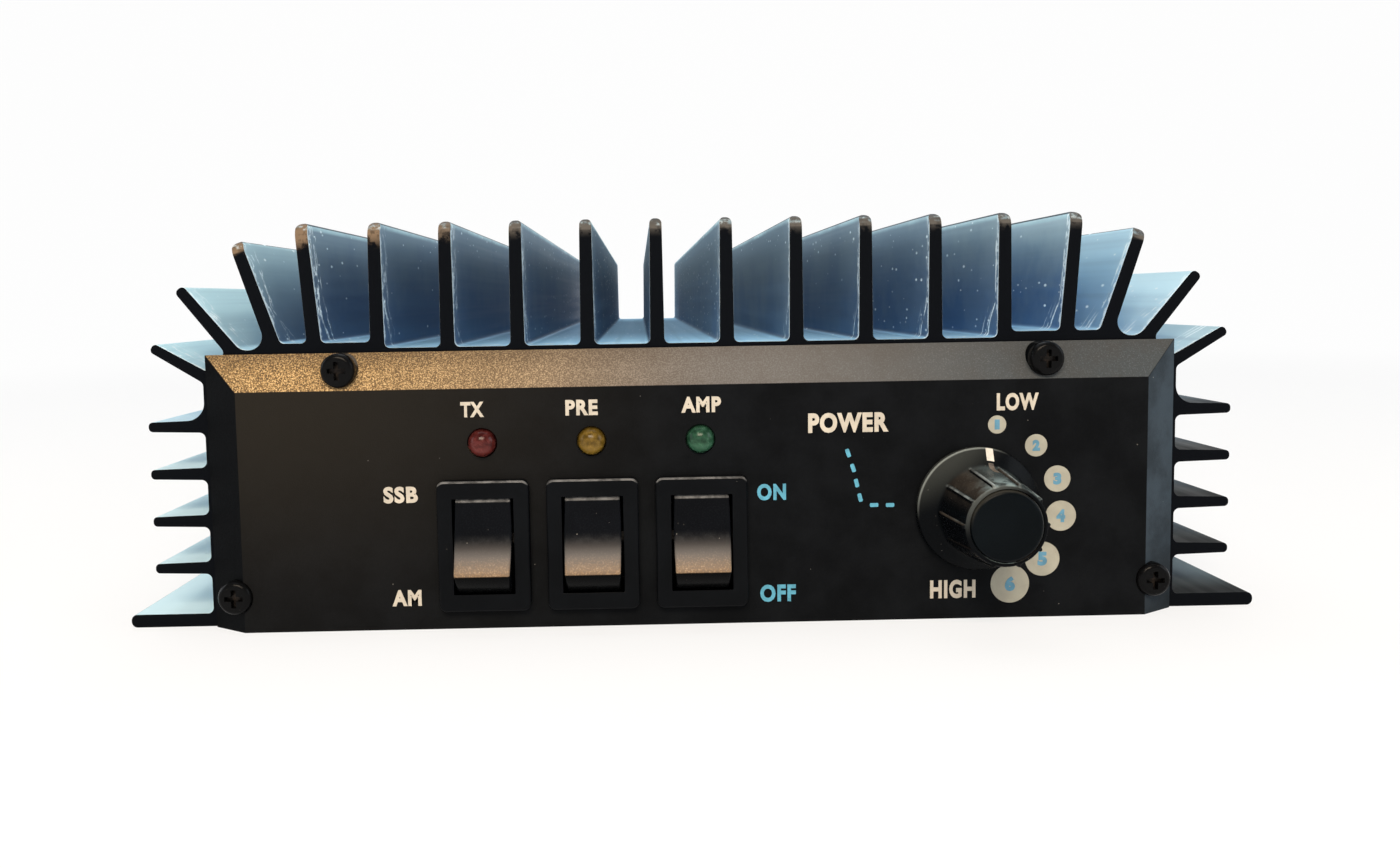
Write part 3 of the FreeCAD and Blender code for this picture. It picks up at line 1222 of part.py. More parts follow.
def build():
    """Every node's solids, by name."""
    nodes = {
        "heatsink_housing": heatsink_housing(),
        "bottom_plate": bottom_plate(),
        "front_panel": front_panel(),
        "rear_panel": rear_panel(),
        "front_panel_screws": tray_screws(True),
        "rear_panel_screws": tray_screws(False),
        "bottom_plate_screws": [moved(csk_screw(PLATE_SCREW_GRIP), x, y)
                                for x, y in plate_screw_spots()],
        "knob_body": knob_body(),
        "knob_cap": knob_cap(),
        "knob_pointer": pointer_blank(0),
        "switch_shaft": switch_shaft(),
        "rotary_switch": rotary_switch(),
        "rotary_switch_nut": rotary_switch_nut(),
        "rotary_switch_pins": rotary_switch_pins(),
        "input_socket_shell": socket_shell(SOCKET_X),
        "antenna_socket_shell": socket_shell(-SOCKET_X),
        "socket_dielectrics": [socket_dielectric(side * SOCKET_X) for side in (-1, 1)],
        "socket_contacts": [socket_contact(side * SOCKET_X) for side in (-1, 1)],
        "socket_screws": socket_screws(),
        "socket_nuts": socket_nuts(),
        "fuse_holder_nuts": [fuse_holder_nut(x) for _, x in FUSE_PLACES],
        "power_grommet": power_grommet(),
        "main_board": main_board(),
        "board_standoffs": board_standoffs(),
        "board_screws": [roof_screw(BOARD_LOW, CEILING + ROOF_SCREW_GRIP, x, y)
                         for x, y in STANDOFF_SPOTS],
        "rf_transistors": rf_transistors(),
        "transistor_screws": [roof_screw(CEILING - TRANSISTOR_FLANGE_THICK,
                                         CEILING + ROOF_SCREW_GRIP, x, y)
                              for x, y in transistor_screw_spots()],
        "output_transformer": output_transformer(),
        "input_transformer": input_transformer(),
        "transformer_windings": transformer_windings(),
        "relays": relays(),
        "electrolytic_cans": electrolytic_cans(),
        "choke_core": choke_core(),
        "choke_winding": choke_winding(),
        "attenuator_resistors": attenuator_resistors(),
        "mica_capacitors": mica_capacitors(),
        "signal_jumpers": signal_jumpers(),
    }
    frame, paddle, blades, leads = rocker_frame(), rocker_paddle(), [], []
    for (letter, x), colour in zip(ROCKER_PLACES, ("red", "amber", "green")):
        nodes["rocker_frame_" + letter] = moved(frame, x)
        nodes["rocker_paddle_" + letter] = moved(paddle, x)
        nodes["led_" + colour] = led_lens(x)
        blades += rocker_blades(x)
        leads += led_leads(x)
    nodes["rocker_blades"] = blades
    nodes["led_leads"] = leads
    for letter, x in FUSE_PLACES:
        nodes["fuse_holder_" + letter] = fuse_holder(x)
        nodes["fuse_cap_" + letter] = fuse_cap(x)
        nodes["fuse_tube_" + letter] = fuse_tube(x)
        nodes["fuse_ends_" + letter] = fuse_ends(x)
    return nodes


def save(name, shape):
    """Write one node's solids to its own STEP file."""
    solids = []
    for item in shape if isinstance(shape, list) else [shape]:
        solids += item.Solids
    for solid in solids:
        if not solid.isValid() or solid.Volume <= 0:
            raise ValueError(name + " holds a bad solid")
    whole = solids[0] if len(solids) == 1 else Part.makeCompound(solids)
    whole.exportStep(os.path.join("parts", name + ".step"))
    print("%-24s %2d solids %10.1f mm3" % (name, len(solids), sum(s.Volume for s in solids)))


os.makedirs("parts", exist_ok=True)
for node_name, node_shape in build().items():
    save(node_name, node_shape)
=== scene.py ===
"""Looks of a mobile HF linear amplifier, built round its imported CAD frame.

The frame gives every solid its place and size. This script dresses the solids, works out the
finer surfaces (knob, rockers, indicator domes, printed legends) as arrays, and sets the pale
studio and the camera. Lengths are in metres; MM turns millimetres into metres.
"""

from __future__ import annotations

import json
import logging
import math
from dataclasses import dataclass, field
from enum import Enum
from functools import partial, reduce
from typing import Callable, Mapping, Sequence

import bmesh
import bpy
import numpy as np
from mathutils import Matrix, Vector

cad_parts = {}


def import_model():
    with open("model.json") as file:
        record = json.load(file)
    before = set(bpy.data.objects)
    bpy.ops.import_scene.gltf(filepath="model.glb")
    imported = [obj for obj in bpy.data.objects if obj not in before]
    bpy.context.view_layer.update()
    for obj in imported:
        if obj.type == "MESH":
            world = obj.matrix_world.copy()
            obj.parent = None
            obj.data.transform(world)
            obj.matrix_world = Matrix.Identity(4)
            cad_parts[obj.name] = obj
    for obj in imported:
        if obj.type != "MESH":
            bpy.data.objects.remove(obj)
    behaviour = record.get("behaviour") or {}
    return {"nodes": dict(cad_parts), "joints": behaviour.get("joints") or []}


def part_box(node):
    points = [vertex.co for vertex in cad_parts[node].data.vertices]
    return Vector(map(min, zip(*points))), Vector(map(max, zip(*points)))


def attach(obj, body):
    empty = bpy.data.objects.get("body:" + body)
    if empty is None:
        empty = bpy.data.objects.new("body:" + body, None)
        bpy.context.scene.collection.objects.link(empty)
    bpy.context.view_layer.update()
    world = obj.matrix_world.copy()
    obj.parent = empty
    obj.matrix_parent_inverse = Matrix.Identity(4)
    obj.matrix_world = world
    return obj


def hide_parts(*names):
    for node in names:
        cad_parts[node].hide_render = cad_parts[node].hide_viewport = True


LOG = logging.getLogger("amplifier")
MM = 0.001
MERGE_GAP = 1e-7          # points nearer than this become one
COPY_MERGE_GAP = 2e-6     # the same for copies of CAD solids
FLAT_ANGLE = math.radians(0.4)
ROUNDED_ANGLE = math.radians(32.0)    # edges of CAD copies sharper than this are rounded
ROUNDING_STEPS = 2
FACE_WEIGHT = 90          # how far large faces rule the shading of rounded copies
KNOB_RIBS = 10
FIRST_RIB = math.radians(18.0)
SWITCH_LETTERS = "abc"    # the three rockers, and the three fuses

Colour = tuple[float, float, float]
Pair = tuple[float, float]
Triple = tuple[float, float, float]
Socket = bpy.types.NodeSocket


class Body(Enum):
    """Bodies of the frame that new pieces ride on."""

    ROOT = "root"
    KNOB = "knob"
    ROCKER_A = "rocker_a"
    ROCKER_B = "rocker_b"
    ROCKER_C = "rocker_c"
    CAP_A = "cap_a"
    CAP_B = "cap_b"
    CAP_C = "cap_c"


class Slot(Enum):
    """Material slots of the record, passed along with new pieces."""

    ALUMINIUM = "anodised_aluminium"
    PAINT = "textured_black_paint"
    BLACK_STEEL = "black_steel"
    GLOSS_PLASTIC = "gloss_black_plastic"
    SATIN_PLASTIC = "satin_black_plastic"
    WHITE_PLASTIC = "white_plastic"
    NICKEL = "nickel_plate"
    BRASS = "tinned_brass"
    RED = "red_lens"
    AMBER = "amber_lens"
    GREEN = "green_lens"


# ---------------------------------------------------------------- shapes worked out as arrays
def smooth_step(value: np.ndarray, start: float, end: float) -> np.ndarray:
    """Rise from 0 at start to 1 at end, level at both: t * t * (3 - 2 t)."""
    t = np.clip((value - start) / (end - start), 0.0, 1.0)
    return t * t * (3.0 - 2.0 * t)


def softened_path(corners: Sequence[Pair], radii: Sequence[float], closed: bool = False,
                  steps: int = 6) -> np.ndarray:
    """Polyline whose corners are rounded by quadratic curves.

    A corner gives way to the curve (1-t)^2 a + 2 t (1-t) c + t^2 b, where c is the corner, and a
    and b lie one radius along the runs to either side of it.

    Args:
        corners: Corner points, as pairs.
        radii: How far each corner's rounding reaches along its runs.
        closed: Whether the last corner joins the first.
        steps: Runs along each rounding.

    Returns:
        Points of the rounded line, one row each.
    """
    points = np.asarray(corners, float)
    count = len(points)
    t = np.linspace(0.0, 1.0, steps + 1)[:, None]
    made = []
    for i in range(count):
        corner, radius = points[i], radii[i]
        if radius <= 0 or (not closed and i in (0, count - 1)):
            made.append(corner[None, :])
            continue
        back, ahead = points[i - 1] - corner, points[(i + 1) % count] - corner
        start = corner + back / np.linalg.norm(back) * radius
        end = corner + ahead / np.linalg.norm(ahead) * radius
        made.append((1 - t) ** 2 * start + 2 * t * (1 - t) * corner + t ** 2 * end)
    return np.concatenate(made)


def turned_surface(profile: np.ndarray, centre: Pair, angles: np.ndarray,
                   swell: Callable[[np.ndarray, np.ndarray], np.ndarray] | None = None
                   ) -> np.ndarray:
    """Surface of a profile turned round a line along Y.

    Row i, column j lies at (cx + r sin a_j, y_i, cz + r cos a_j), with r = r_i + swell(a_j, y_i).

    Args:
        profile: Pairs (radius, y), one row each.
        centre: Place (x, z) of the line.
        angles: Angles of the columns, clockwise from the top as seen from the front.
        swell: Extra radius as a function of angle and y, or None.

    Returns:
        Points, rows by columns by 3.
    """
    radius = np.repeat(profile[:, :1], len(angles), axis=1)
    depth = np.repeat(profile[:, 1:], len(angles), axis=1)
    if swell is not None:
        radius = radius + swell(angles[None, :], depth)
    return np.stack([centre[0] + radius * np.sin(angles), depth,
                     centre[1] + radius * np.cos(angles)], axis=-1)


def even_angles(count: int) -> np.ndarray:
    """Angles of a whole turn, the end left out."""
    return np.arange(count) * (2 * math.pi / count)


@dataclass
class Shell:
    """Point grids gathered into one mesh; neighbours on a grid make its quads."""

    name: str
    points: list[np.ndarray] = field(default_factory=list)
    faces: list[list[int]] = field(default_factory=list)
    size: int = 0

    def grid(self, surface: np.ndarray, around: bool = False, along: bool = False) -> Shell:
        """Add a surface.

        Args:
            surface: Points, rows by columns by 3.
            around: Whether the last column joins the first.
            along: Whether the last row joins the first.

        Returns:
            This shell.
        """
        rows, columns = surface.shape[:2]
        index = np.arange(rows * columns).reshape(rows, columns) + self.size
        if around:
            index = np.concatenate([index, index[:, :1]], axis=1)
        if along:
            index = np.concatenate([index, index[:1]], axis=0)
        quads = np.stack([index[:-1, :-1], index[:-1, 1:], index[1:, 1:], index[1:, :-1]], axis=-1)
        self.faces.extend(quads.reshape(-1, 4).tolist())
        self.points.append(surface.reshape(-1, 3))
        self.size += rows * columns
        return self

    def cap(self, ring: np.ndarray) -> Shell:
        """Close a ring of points with one flat face.

        Args:
            ring: The points, one row each.

        Returns:
            This shell.
        """
        self.faces.append(list(range(self.size, self.size + len(ring))))
        self.points.append(ring)
        self.size += len(ring)
        return self

    def build(self, crease: float = 35.0) -> bpy.types.Object:
        """Make the object.

        Args:
            crease: Angle in degrees from which an edge stays sharp.

        Returns:
            A closed, outward-facing, smooth-shaded object at the origin.
        """
        mesh = bpy.data.meshes.new(self.name)
        mesh.from_pydata(np.concatenate(self.points).tolist(), [], self.faces)
        return finished_object(self.name, mesh, MERGE_GAP, crease)


def finished_object(name: str, mesh: bpy.types.Mesh, gap: float, crease: float,
                    flatten: bool = False) -> bpy.types.Object:
    """Merge a mesh's doubles, turn its faces outwards, shade it smooth and link its object.

    Args:
        name: Name of the object.
        mesh: Its mesh, which is changed.
        gap: Distance under which points are merged.
        crease: Angle in degrees from which an edge stays sharp.
        flatten: Whether triangles that lie in one plane become one face.

    Returns:
        The linked object.
    """
    work = bmesh.new()
    work.from_mesh(mesh)
    bmesh.ops.remove_doubles(work, verts=work.verts, dist=gap)
    if flatten:
        bmesh.ops.dissolve_limit(work, angle_limit=FLAT_ANGLE, verts=work.verts,
                                 edges=work.edges, use_dissolve_boundaries=False)
    bmesh.ops.recalc_face_normals(work, faces=work.faces)
    work.to_mesh(mesh)
    work.free()
    mesh.shade_smooth()
    mesh.set_sharp_from_angle(angle=math.radians(crease))
    made = bpy.data.objects.new(name, mesh)
    bpy.context.scene.collection.objects.link(made)
    return made


# ---------------------------------------------------------------- shader graphs
class Graph:
    """Short words for adding nodes to one tree and joining them."""

    def __init__(self, tree: bpy.types.NodeTree) -> None:
        """Keep the tree that the nodes go in."""
        self.tree = tree

    def node(self, kind: str, inputs: Mapping[int | str, object] | None = None,
             **settings: object) -> bpy.types.Node:
        """Add a node.

        Args:
            kind: Blender's name for the kind of node.
            inputs: Value or socket for some of its inputs, by number or name.
            settings: Values of its own options.

        Returns:
            The node.
        """
        made = self.tree.nodes.new(kind)
        for key, value in settings.items():
            setattr(made, key, value)
        for key, value in (inputs or {}).items():
            self.feed(made.inputs[key], value)
        return made

    def feed(self, socket: Socket, value: object) -> None:
        """Link an input to another socket, or set its plain value.

        Args:
            socket: The input.
            value: What it takes: a socket, a number or a tuple.
        """
        if isinstance(value, Socket):
            self.tree.links.new(value, socket)
        else:
            socket.default_value = (*value, 1.0) if socket.type == "RGBA" else value

    def math(self, operation: str, *values: object) -> Socket:
        """Result of one Math node."""
        return self.node("ShaderNodeMath", dict(enumerate(values)), operation=operation).outputs[0]

    def fold(self, operation: str, values: Sequence[object]) -> Socket:
        """Join values and sockets by one operation, from the left."""
        return reduce(partial(self.math, operation), values)

    def times(self, *values: object) -> Socket:
        """Product of values and sockets."""
        return self.fold("MULTIPLY", values)

    def plus(self, *values: object) -> Socket:
        """Sum of values and sockets."""
        return self.fold("ADD", values)

    def most(self, *values: object) -> Socket:
        """Largest of values and sockets."""
        return self.fold("MAXIMUM", values)

    def minus(self, first: object, second: object) -> Socket:
        """Difference of two values or sockets."""
        return self.math("SUBTRACT", first, second)

    def over(self, first: object, second: object) -> Socket:
        """Quotient of two values or sockets."""
        return self.math("DIVIDE", first, second)

    def absolute(self, value: object) -> Socket:
        """Value without its sign."""
        return self.math("ABSOLUTE", value)

    def length(self, across: object, up: object) -> Socket:
        """Length of a flat vector: the root of across squared plus up squared."""
        return self.math("SQRT", self.plus(self.times(across, across), self.times(up, up)))

    def ramp(self, value: object, start: object, end: object, low: object = 0.0,
             high: object = 1.0) -> Socket:
        """Smooth change from low, where value is start, to high, where it is end."""
        return self.node("ShaderNodeMapRange", dict(enumerate((value, start, end, low, high))),
                         interpolation_type="SMOOTHSTEP").outputs[0]

    def band(self, value: object, rise: Pair, fall: Pair) -> Socket:
        """Mask that comes in over rise and goes out over fall."""
        return self.times(self.ramp(value, *rise), self.ramp(value, *fall))

    def blend(self, mask: object, first: object, second: object) -> Socket:
        """Colour that goes from first, where the mask is 0, to second."""
        return self.node("ShaderNodeMix", {0: mask, 6: first, 7: second},
                         data_type="RGBA").outputs[2]

    def stretched(self, vector: object, factors: object) -> Socket:
        """Vector with each part multiplied by its own factor."""
        return self.node("ShaderNodeVectorMath", {0: vector, 1: factors},
                         operation="MULTIPLY").outputs[0]

    def place(self) -> Socket:
        """Object coordinates."""
        return self.node("ShaderNodeTexCoord").outputs["Object"]

    def axes(self, vector: Socket) -> list[Socket]:
        """The three parts of a vector."""
        return list(self.node("ShaderNodeSeparateXYZ", {0: vector}).outputs)

    def facing(self) -> list[Socket]:
        """The three parts of the surface's own outward direction, in the piece's axes."""
        return self.axes(self.node("ShaderNodeTexCoord").outputs["Normal"])

    def noise(self, vector: Socket, scale: object, detail: float = 2.0,
              roughness: float = 0.5) -> Socket:
        """Noise from 0 to 1."""
        return self.node("ShaderNodeTexNoise", {"Vector": vector, "Scale": scale, "Detail": detail,
                                                "Roughness": roughness}).outputs["Fac"]

    def patches(self, vector: Socket, scale: float, low: float, high: float = 1.0,
                span: Pair = (0.35, 0.65)) -> Socket:
        """Rough patches from low to high; span is the part of the noise that the change takes."""
        return self.ramp(self.noise(vector, scale, 3.0, 0.6), *span, low, high)


class Effect(Enum):
    """Surface effects that several finishes share, each one node group."""

    DUST = "dust_specks"
    GRAIN = "fine_grain"
    CLOUDS = "soft_clouds"
    STREAKS = "drawn_streaks"
    WEAR = "worn_edge"


# a node group's graph, its inputs by name and its output node
Opened = tuple[Graph, dict[str, Socket], bpy.types.Node]


class Effects:
    """Builds each shared node group once and places it in materials."""

    made: dict[Effect, bpy.types.NodeTree] = {}

    @classmethod
    def use(cls, graph: Graph, effect: Effect, **values: object) -> dict[str, Socket]:
        """Place an effect in a material.

        Args:
            graph: The material's graph.
            effect: Which effect.
            values: Value or socket for each of its inputs.

        Returns:
            Its outputs by name.
        """
        if effect not in cls.made:
            cls.made[effect] = getattr(cls, effect.value)()
        placed = graph.node("ShaderNodeGroup", values, node_tree=cls.made[effect])
        return {socket.name: socket for socket in placed.outputs}

    @classmethod
    def clouds(cls, graph: Graph, size: float) -> Socket:
        """Slow change over a finish, from 0 to 1, at this spacing."""
        return cls.use(graph, Effect.CLOUDS, Place=graph.place(), Size=size)["Value"]

    @staticmethod
    def start(name: str, inputs: Sequence[str], outputs: Sequence[str]) -> Opened:
        """Open a new node group.

        Args:
            name: Name of the group.
            inputs: Its inputs; Place and Stretch are vectors, the others are values.
            outputs: Its outputs, all values.

        Returns:
            Its graph, its input sockets by name and its output node.
        """
        tree = bpy.data.node_groups.new(name, "ShaderNodeTree")
        for key in inputs:
            kind = "NodeSocketVector" if key in ("Place", "Stretch") else "NodeSocketFloat"
            tree.interface.new_socket(key, in_out="INPUT", socket_type=kind)
        for key in outputs:
            tree.interface.new_socket(key, in_out="OUTPUT", socket_type="NodeSocketFloat")
        graph = Graph(tree)
        source = graph.node("NodeGroupInput")
        return graph, {s.name: s for s in source.outputs}, graph.node("NodeGroupOutput")

    @classmethod
    def dust_specks(cls) -> bpy.types.NodeTree:
        """Round specks in a share of random cells; Cell is their spacing, Radius their size.

        Returns:
            The node group.
        """
        graph, source, sink = cls.start("dust_specks", ("Place", "Cell", "Share", "Radius"),
                                        ("Mask",))
        cells = graph.node("ShaderNodeTexVoronoi", {"Vector": source["Place"],
                                                    "Scale": graph.over(1.0, source["Cell"])})
        lot, size, _ = graph.axes(cells.outputs["Color"])
        reach = graph.over(graph.times(source["Radius"], graph.ramp(size, 0.0, 1.0, 0.4, 1.0)),
                           source["Cell"])
        spot = graph.ramp(cells.outputs["Distance"], reach, graph.times(reach, 0.4))
        chosen = graph.math("LESS_THAN", lot, source["Share"])
        graph.feed(sink.inputs["Mask"], graph.times(spot, chosen))
        return graph.tree

    @classmethod
    def fine_grain(cls) -> bpy.types.NodeTree:
        """Grain of a textured coat; Height for a bump and Glint for its brightest tips.

        Returns:
            The node group.
        """
        graph, source, sink = cls.start("fine_grain", ("Place", "Size"), ("Height", "Glint"))
        scale = graph.over(1.0, source["Size"])
        height = graph.noise(source["Place"], scale, 1.5, 0.6)
        fine = graph.noise(source["Place"], graph.times(scale, 2.3), 1.0, 0.5)
        graph.feed(sink.inputs["Height"], height)
        graph.feed(sink.inputs["Glint"], graph.times(graph.ramp(height, 0.5, 0.68),
                                                     graph.ramp(fine, 0.42, 0.62)))
        return graph.tree

    @classmethod
    def soft_clouds(cls) -> bpy.types.NodeTree:
        """Slow change over the surface, from 0 to 1; Size is the spacing of the clouds.

        Returns:
            The node group.
        """
        graph, source, sink = cls.start("soft_clouds", ("Place", "Size"), ("Value",))
        value = graph.noise(source["Place"], graph.over(1.0, source["Size"]), 4.0, 0.6)
        graph.feed(sink.inputs["Value"], graph.ramp(value, 0.3, 0.7))
        return graph.tree

    @classmethod
    def drawn_streaks(cls) -> bpy.types.NodeTree:
        """Streaks, long in the direction in which Stretch is small, from 0 to 1.

        Returns:
            The node group.
        """
        graph, source, sink = cls.start("drawn_streaks", ("Place", "Stretch"), ("Value",))
        drawn = graph.stretched(source["Place"], source["Stretch"])
        graph.feed(sink.inputs["Value"], graph.noise(drawn, 1.0, 2.0, 0.6))
        return graph.tree

    @classmethod
    def worn_edge(cls) -> bpy.types.NodeTree:
        """Uneven line where Distance is under about Width, broken up along its length.

        Returns:
            The node group.
        """
        graph, source, sink = cls.start("worn_edge", ("Place", "Distance", "Width"), ("Mask",))
        reach = graph.times(source["Width"], graph.patches(source["Place"], 700.0, 0.3, 1.6))
        graph.feed(sink.inputs["Mask"], graph.ramp(source["Distance"], graph.times(reach, 0.6),
                                                   reach, 1.0, 0.0))
        return graph.tree


# ---------------------------------------------------------------- finishes
@dataclass(frozen=True)
class Finish:
    """A finish with soft colour changes, a fine grain and some dust."""

    name: str
    colour: Colour
    roughness: float = 0.5
    metallic: float = 0.0
    clouding: float = 0.18
    cloud_size: float = 9 * MM
    grain_size: float = 0.25 * MM
    grain_depth: float = 0.01 * MM
    dust: float = 0.0                 # share of the cells that hold a speck
    dust_cell: float = 1.1 * MM
    dust_radius: float = 0.11 * MM
    dust_colour: Colour = (0.42, 0.40, 0.37)
    coat: float = 0.0
    coat_roughness: float = 0.08
    specular: float = 0.5
    sheen_tint: Colour = (1.0, 1.0, 1.0)

    def start(self) -> tuple[bpy.types.Material, Graph, bpy.types.Node]:
        """Open the material with its main shader and the values that are the same all over.

        Returns:
            The material, its graph and its main shader.
        """
        material = bpy.data.materials.new(self.name)
        material.use_nodes = True
        graph = Graph(material.node_tree)
        shader = material.node_tree.nodes["Principled BSDF"]
        for key, value in (("Metallic", self.metallic), ("Coat Weight", self.coat),
                           ("Coat Roughness", self.coat_roughness),
                           ("Specular IOR Level", self.specular),
                           ("Specular Tint", self.sheen_tint)):
            graph.feed(shader.inputs[key], value)
        return material, graph, shader

    def toned(self, factor: float, lift: float = 0.0) -> Colour:
        """The colour times a factor and plus a lift, each part at most 1."""
        return tuple(min(1.0, part * factor + lift) for part in self.colour)

    def tone(self, graph: Graph) -> Socket:
        """Base colour before dust: the colour, lighter and darker by its clouding."""
        return graph.blend(Effects.clouds(graph, self.cloud_size), self.toned(1 - self.clouding),
                           self.toned(1 + self.clouding))

    def paint(self) -> bpy.types.Material:
        """Build the material.

        Returns:
            The finished material.
        """
        material, graph, shader = self.start()
        grain = Effects.use(graph, Effect.GRAIN, Place=graph.place(), Size=self.grain_size)
        specks = self.specks(graph)
        colour = graph.blend(graph.times(specks, 0.8), self.tone(graph), self.dust_colour)
        graph.feed(shader.inputs["Base Color"], colour)
        rough = self.around(graph, grain["Height"], 0.12)
        graph.feed(shader.inputs["Roughness"], graph.plus(rough, graph.times(specks, 0.3)))
        self.bump(graph, shader, grain["Height"], self.grain_depth)
        return material

    def specks(self, graph: Graph) -> Socket:
        """Mask of the finish's dust."""
        return Effects.use(graph, Effect.DUST, Place=graph.place(), Cell=self.dust_cell,
                           Share=self.dust, Radius=self.dust_radius)["Mask"]

    def around(self, graph: Graph, value: Socket, spread: float, span: Pair = (0.3, 0.7)) -> Socket:
        """Roughness that a value over span carries from under to over the plain one by spread."""
        return graph.ramp(value, *span, self.roughness * (1 - spread),
                          self.roughness * (1 + spread))

    @staticmethod
    def bump(graph: Graph, shader: bpy.types.Node, height: Socket, depth: float) -> None:
        """Let a height from 0 to 1 raise the surface by depth at most."""
        bump = graph.node("ShaderNodeBump", {"Strength": 1.0, "Distance": depth, "Height": height})
        graph.feed(shader.inputs["Normal"], bump.outputs[0])


@dataclass(frozen=True)
class DrawnMetal(Finish):
    """Metal with fine lines drawn along one direction."""

    stretch: Triple = (900.0, 20.0, 900.0)
    line_depth: float = 0.006 * MM

    def paint(self) -> bpy.types.Material:
        """Build the material.

        Returns:
            The finished material.
        """
        material, graph, shader = self.start()
        place = graph.place()
        lines = Effects.use(graph, Effect.STREAKS, Place=place, Stretch=self.stretch)["Value"]
        graph.feed(shader.inputs["Base Color"], self.tone(graph))
        graph.feed(shader.inputs["Roughness"], self.around(graph, lines, 0.25))
        self.bump(graph, shader, lines, self.line_depth)
        return material


@dataclass(frozen=True)
class FinPlace:
    """Where a point of the extrusion lies and which way it faces, as sockets."""

    place: Socket
    x: Socket
    z: Socket
    aside: Socket       # distance from the middle plane
    from_end: Socket    # distance from the nearer end
    outward: Socket     # how far it faces away from the middle, from -1 to 1
    ends: Socket        # how far it faces along the extrusion, from 0 to 1
    face_z: Socket
    upper: Socket       # mask of all that lies above the side fins

    @classmethod
    def read(cls, graph: Graph, end_y: float, floor_z: float) -> FinPlace:
        """Work the values out.

        Args:
            graph: The material's graph.
            end_y: Distance of the extrusion's ends from its middle.
            floor_z: Height of the floor between the roof fins.

        Returns:
            The values' sockets.
        """
        place = graph.place()
        x, y, z = graph.axes(place)
        face_x, face_y, face_z = graph.facing()
        return cls(place, x, z, graph.absolute(x), graph.minus(end_y, graph.absolute(y)),
                   graph.times(face_x, graph.math("SIGN", x)), graph.absolute(face_y), face_z,
                   graph.ramp(z, floor_z - 12 * MM, floor_z - 8 * MM))


